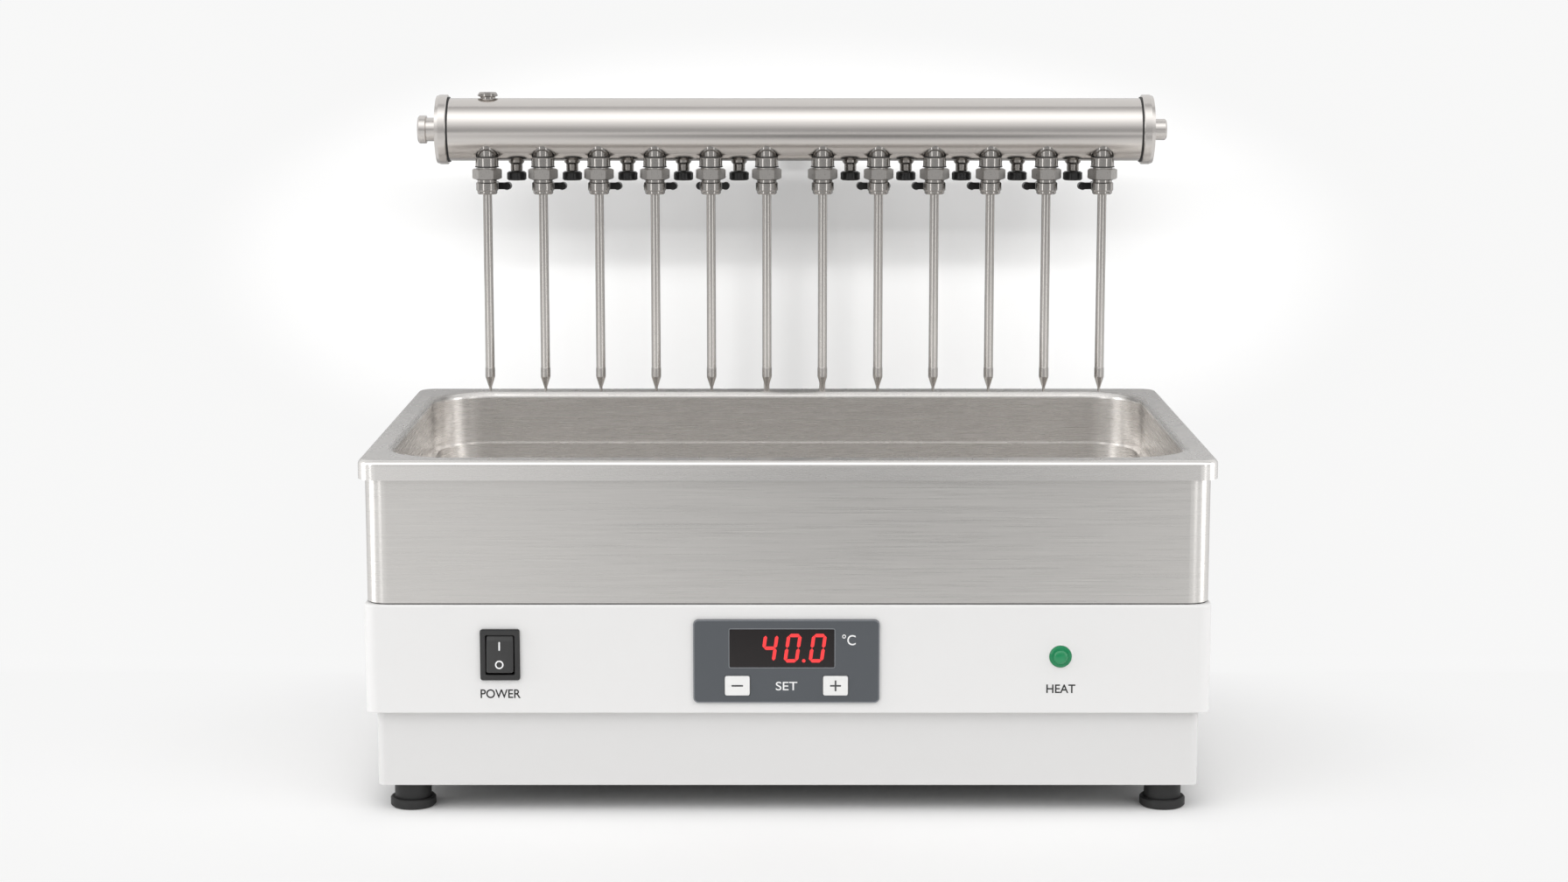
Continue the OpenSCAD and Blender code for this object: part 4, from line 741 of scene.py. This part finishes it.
def add_bar(bm, centre, length, degrees, lean):
    """One pointed bar of a digit, flat, in millimetres."""
    made = bmesh.ops.create_grid(bm, x_segments=1, y_segments=1, size=0.5)["verts"]
    bmesh.ops.scale(bm, verts=made, vec=(length - BAR, BAR, 1))
    ends = [e for e in {e for v in made for e in v.link_edges}
            if abs(e.verts[0].co.x - e.verts[1].co.x) < 1e-6]
    for end in ends:
        side = math.copysign(BAR / 2, end.verts[0].co.x)
        tip = bmesh.ops.extrude_edge_only(bm, edges=[end])["geom"]
        tip = [v for v in tip if isinstance(v, bmesh.types.BMVert)]
        bmesh.ops.scale(bm, verts=tip, vec=(1, 0.05, 1))
        bmesh.ops.translate(bm, verts=tip, vec=(side, 0, 0))
        made += tip
    bmesh.ops.rotate(bm, verts=made, matrix=Matrix.Rotation(math.radians(degrees), 3, "Z"))
    bmesh.ops.translate(bm, verts=made, vec=(*centre, 0))
    for vert in made:
        vert.co.x += vert.co.y * lean


def add_digit(bm, shown, left, bottom):
    """A digit of the bars named in shown."""
    first = len(bm.verts)
    for bar in shown:
        across, up, degrees = BARS[bar]
        span = DIGIT_TALL / 2 - BAR / 2 if degrees else DIGIT_WIDE - BAR
        add_bar(bm, (BAR / 2 + across * (DIGIT_WIDE - BAR), BAR / 2 + up * (DIGIT_TALL - BAR)),
                span - BAR_GAP, degrees, LEAN)
    bm.verts.ensure_lookup_table()
    bmesh.ops.translate(bm, verts=bm.verts[first:], vec=(left, bottom, 0))


def stand_flat(bm, name, front, deep):
    """Gives a flat drawing its depth and stands it on the panel."""
    raised = bmesh.ops.extrude_face_region(bm, geom=bm.faces[:])["geom"]
    bmesh.ops.translate(
        bm, verts=[v for v in raised if isinstance(v, bmesh.types.BMVert)], vec=(0, 0, deep))
    bm.transform(stand_up(front))
    return finish_mesh(bm, name)


# Which bars are lit, and each digit's left edge
DIGITS = [("bcfg", -17.3), ("abcdef", -2.9), ("abcdef", 12.7)]
DIGIT_FOOT = 98.7
POINT_X, POINT_RADIUS = 9.9, 1.1

bm = bmesh.new()
for shown, left in DIGITS:
    add_digit(bm, shown, left, DIGIT_FOOT)
point = bmesh.ops.create_circle(bm, cap_ends=True, segments=20, radius=POINT_RADIUS)["verts"]
bmesh.ops.translate(bm, verts=point, vec=(POINT_X, DIGIT_FOOT + POINT_RADIUS, 0))
digits = stand_flat(bm, "display_digits", WINDOW_FRONT, 0.05)
lit, tree, shader = new_finish("lit_red", (0.5, 0.02, 0.02), 0.5)
node = add_group(tree, grains, stretched(tree, (3000, 3000, 3000)), 0.4, 0.6)
tree.links.new(node.outputs["Clouds"], shader.inputs["Roughness"])
shader.inputs["Emission Color"].default_value = (0.80, 0.035, 0.04, 1)
shader.inputs["Emission Strength"].default_value = 0.85
add_piece(digits, lit, "base")
print("digits of", len(digits.data.polygons), "faces")

# %% [markdown]
# The panel and the window each get a painted highlight: a thin frame of lighter grey on the
# front, which stands in for the light their rounded border catches. Each is a flat rounded
# rectangle that is inset, with its middle taken out.

# %% Painted edge highlights
def rounded_face(bm, wide, tall, corner, centre):
    """A flat rectangle with rounded corners. Returns its face."""
    made = bmesh.ops.create_grid(bm, x_segments=1, y_segments=1, size=0.5)["verts"]
    bmesh.ops.scale(bm, verts=made, vec=(wide, tall, 1))
    bmesh.ops.translate(bm, verts=made, vec=(*centre, 0))
    bmesh.ops.bevel(bm, geom=made, offset=corner, segments=6, profile=0.5,
                    affect="VERTICES", material=-1)
    return max(bm.faces, key=lambda f: f.calc_area())


def painted_highlight_frame(name, wide, tall, corner, centre, line, front):
    """A thin frame round a rounded rectangle, for a painted highlight along an edge."""
    bm = bmesh.new()
    face = rounded_face(bm, wide, tall, corner, centre)
    bmesh.ops.inset_region(bm, faces=[face], thickness=line, use_even_offset=True,
                             use_boundary=True)
    bmesh.ops.delete(bm, geom=[face], context="FACES")
    return stand_flat(bm, name, front, 0.06)


# These frames are lighter grey than the panel: a painted highlight where the border would catch
# the light.
painted_highlight_grey = moulded("painted_highlight_grey", (0.24, 0.25, 0.27), 0.35, 5000, 0.000003)
add_piece(painted_highlight_frame("fascia_painted_highlight", 115.6, 52.6, 3.1, (-0.9, 99.5), 0.5, FASCIA_FRONT),
          painted_highlight_grey, "base")
add_piece(painted_highlight_frame("window_painted_highlight", 66.3, 25.2, 1.2, (-3.7, 107.8), 0.4, FASCIA_FRONT),
          painted_highlight_grey, "base")
print("edge lines on")

# %% [markdown]
# The signs on the two keys are printed bars with slightly rounded corners. Each bar is a flat
# rectangle whose corners are bevelled, and the plus is one long bar and two short ones.

# %% Signs on the keys
KEY_FRONT = -162.7


def bar_sign(name, boxes, corner, front, deep=0.06):
    """A sign of rounded bars, each (x, z, wide, tall)."""
    bm = bmesh.new()
    for x, z, wide, tall in boxes:
        made = bmesh.ops.create_grid(bm, x_segments=1, y_segments=1, size=0.5)["verts"]
        bmesh.ops.scale(bm, verts=made, vec=(wide, tall, 1))
        bmesh.ops.translate(bm, verts=made, vec=(x, z, 0))
        bmesh.ops.bevel(bm, geom=made, offset=corner, segments=4, profile=0.5,
                        affect="VERTICES", material=-1)
    return stand_flat(bm, name, front, deep)


add_piece(bar_sign("sign_minus", [(-31.5, 84.1, 7.2, 1.05)], 0.2, KEY_FRONT), grey_ink,
          "minus_key")
add_piece(bar_sign("sign_plus", [(29.7, 84.1, 6.8, 1.05), (29.7, 86.1, 1.05, 2.86),
                                 (29.7, 82.1, 1.05, 2.86)], 0.1, KEY_FRONT),
          grey_ink, "plus_key")
print("signs on")

# %% [markdown]
# The heat lamp's button and the pale washer round it are turned on the lamp's own axis. The
# lens is glossy and has a clear coat, so it catches two small lights.

# %% Heat lamp
LAMP_X, LAMP_Z = 169.8, 102.3


def turned_piece(name, profile, x, z, front, steps=48):
    """A form turned round an axis out of the panel, from (radius, height) points."""
    bm = bmesh.new()
    line = [bm.verts.new(place(x + radius, front - high, z)) for radius, high in profile]
    for pair in zip(line, line[1:]):
        bm.edges.new(pair)
    bmesh.ops.spin(bm, geom=bm.verts[:] + bm.edges[:], cent=place(x, front, z), axis=(0, 1, 0),
                   angle=math.tau, steps=steps, use_merge=True)
    bmesh.ops.remove_doubles(bm, verts=bm.verts, dist=1e-6)
    return smooth(finish_mesh(bm, name), 50)


lens_green = moulded("lens_green", (0.0, 0.24, 0.085), 0.16, 500, 0.000002, spread=0.03,
                     Coat_Weight=0.6, Coat_Roughness=0.06)
ring_white = moulded("ring_white", (0.8, 0.8, 0.79), 0.3, 3000, 0.000004)
BUTTON = [(0, 3.75), (2.6, 3.7), (3.6, 3.52), (4.15, 3.15), (4.45, 2.6), (4.55, 1.9), (0, 1.9)]
WASHER = [(7.05, 0), (7.9, 0), (7.85, 0.3), (7.6, 0.42), (7.05, 0.42), (7.05, 0)]
for name, profile, finish in (("lamp_button", BUTTON, lens_green),
                              ("lamp_washer", WASHER, ring_white)):
    add_piece(turned_piece(name, profile, LAMP_X, LAMP_Z, FRONT), finish, "base")
print("lamp's button and washer on")

# %% [markdown]
# The rocker is a flat block that tilts on its pins. Its corners are rounded and its top end
# falls away a little, which shows as a soft band. It starts as a cube, is cut across, bent
# and bevelled, and then tilted as it lies at rest, with its top pressed in.

# %% Rocker
ROCKER_WIDE, ROCKER_TALL, ROCKER_DEEP, ROCKER_FACE = 16.8, 23.4, 4.7, 6.2
ROCKER_FOLD, ROCKER_FALL, ROCKER_REST = 8.2, 0.75, 7
SWITCH_X, SWITCH_Z, PIVOT_Y = -179.2, 103.6, -157.0


def tilted():
    """The rocker's place: turned on its pins, from millimetres to the frame."""
    return (Matrix.Translation(place(SWITCH_X, PIVOT_Y, SWITCH_Z))
            @ Matrix.Rotation(math.radians(-ROCKER_REST), 4, "X") @ Matrix.Scale(MM, 4))


bm = bmesh.new()
block = bmesh.ops.create_cube(bm, size=1)["verts"]
bmesh.ops.scale(bm, verts=block, vec=(ROCKER_WIDE, ROCKER_DEEP, ROCKER_TALL))
bmesh.ops.translate(bm, verts=block, vec=(0, ROCKER_DEEP / 2 - ROCKER_FACE, 0))
bmesh.ops.bisect_plane(bm, geom=bm.verts[:] + bm.edges[:] + bm.faces[:],
                       plane_co=(0, 0, ROCKER_FOLD), plane_no=(0, 0, 1))
top_front = [v for v in bm.verts if v.co.z > ROCKER_FOLD + 1 and v.co.y < -ROCKER_FACE + 0.1]
bmesh.ops.translate(bm, verts=top_front, vec=(0, ROCKER_FALL, 0))
corner_edges = [e for e in bm.edges if abs(e.verts[0].co.y - e.verts[1].co.y) > 2
                and all(abs(abs(v.co.z) - ROCKER_TALL / 2) < 0.01 for v in e.verts)]
bmesh.ops.bevel(bm, geom=corner_edges, offset=1.3, segments=5, profile=0.5, affect="EDGES",
                material=-1)
rim_edges = [e for e in bm.edges if len(e.link_faces) == 2 and e.calc_face_angle() > 1.2
             and all(v.co.y < -ROCKER_FACE + 1.2 for v in e.verts)]
bmesh.ops.bevel(bm, geom=rim_edges, offset=0.45, segments=3, profile=0.5, affect="EDGES",
                material=-1)
fold_edges = [e for e in bm.edges if all(abs(v.co.z - ROCKER_FOLD) < 0.02
              and v.co.y < -ROCKER_FACE + 0.2 for v in e.verts) and e.calc_length() > 10]
bmesh.ops.bevel(bm, geom=fold_edges, offset=0.7, segments=4, profile=0.5, affect="EDGES",
                material=-1)
bm.transform(tilted())
rocker = smooth(finish_mesh(bm, "rocker_block"), 35)
add_piece(rocker, moulded("rocker_satin", (0.036, 0.036, 0.036), 0.38, 4000, 0.00001),
          "rocker")
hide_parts("power_rocker")
print("rocker of", len(rocker.data.polygons), "faces")

# %% [markdown]
# The line and the ring on the rocker are printed too, but they lie on its tilted face, so they
# are drawn flat and then given the rocker's own place. The line has round ends, and the ring
# is a circle that is inset, with its middle taken out.

# %% The switch's line and ring
SIGN_X, LINE_Z, RING_Z = -0.3, 4.9, -6.6
LINE_WIDE, LINE_TALL, LINE_ROUND = 0.95, 5.5, 0.45
RING_RADIUS, RING_LINE = 2.65, 0.85
SIGN_DEEP = 0.06


def on_rocker(bm, name):
    """Gives a flat drawing its depth and lays it on the tilted rocker."""
    raised = bmesh.ops.extrude_face_region(bm, geom=bm.faces[:])["geom"]
    bmesh.ops.translate(bm, verts=[v for v in raised if isinstance(v, bmesh.types.BMVert)],
                        vec=(0, 0, SIGN_DEEP))
    bm.transform(tilted() @ Matrix.Translation((0, -ROCKER_FACE, 0))
                 @ Matrix.Rotation(math.radians(90), 4, "X"))
    return finish_mesh(bm, name)


bm = bmesh.new()
made = bmesh.ops.create_grid(bm, x_segments=1, y_segments=1, size=0.5)["verts"]
bmesh.ops.scale(bm, verts=made, vec=(LINE_WIDE, LINE_TALL, 1))
bmesh.ops.bevel(bm, geom=made, offset=LINE_ROUND, segments=5, profile=0.5, affect="VERTICES",
                material=-1)
bmesh.ops.translate(bm, verts=bm.verts, vec=(SIGN_X, LINE_Z, 0))
add_piece(on_rocker(bm, "sign_on"), white_ink, "rocker")
bm = bmesh.new()
disc = bmesh.ops.create_circle(bm, cap_ends=True, segments=40, radius=RING_RADIUS)["verts"]
bmesh.ops.translate(bm, verts=disc, vec=(SIGN_X, RING_Z, 0))
face = bm.faces[:][0]
bmesh.ops.inset_region(bm, faces=[face], thickness=RING_LINE, use_even_offset=True,
                         use_boundary=True)
bmesh.ops.delete(bm, geom=[face], context="FACES")
add_piece(on_rocker(bm, "sign_off"), white_ink, "rocker")
print("line and ring on the rocker")

# %% [markdown]
# Where the turned parts of a station meet, a thin black rubber seal shows as a dark line. The
# rings are seals, and they also paint the shade that falls in those seams. One ring is a small
# circle turned round the needle's axis, and each station gets three at its joints.

# %% Station seals and painted joint shade
STATIONS = 12
STATION_FIRST, STATION_LAST = -198.8, 208.2
SEAL_RINGS_AND_SHADE = [(403.0, 6.9, 0.45), (396.6, 7.55, 0.42), (388.4, 7.2, 0.42)]

bm = bmesh.new()
for index in range(STATIONS):
    across = STATION_FIRST + (STATION_LAST - STATION_FIRST) * index / (STATIONS - 1)
    for z, radius, thick in SEAL_RINGS_AND_SHADE:
        section = bmesh.ops.create_circle(bm, segments=8, radius=thick * MM)["verts"]
        bmesh.ops.rotate(bm, verts=section, matrix=Matrix.Rotation(math.radians(90), 3, "X"))
        bmesh.ops.translate(bm, verts=section, vec=place(across + radius, 0, z))
        loop = section + list({e for v in section for e in v.link_edges})
        bmesh.ops.spin(bm, geom=loop, cent=place(across, 0, z), axis=(0, 0, 1),
                       angle=math.tau, steps=28, use_merge=True)
bmesh.ops.remove_doubles(bm, verts=bm.verts, dist=1e-6)
# Black rings at the joints: seals that also stand in for the shade in the seams between parts.
seal_and_shade_rings = smooth(finish_mesh(bm, "station_seals_painted_shade"), 60)
add_piece(seal_and_shade_rings, rubber, "lift")
print("seals of", len(seal_and_shade_rings.data.polygons), "faces")
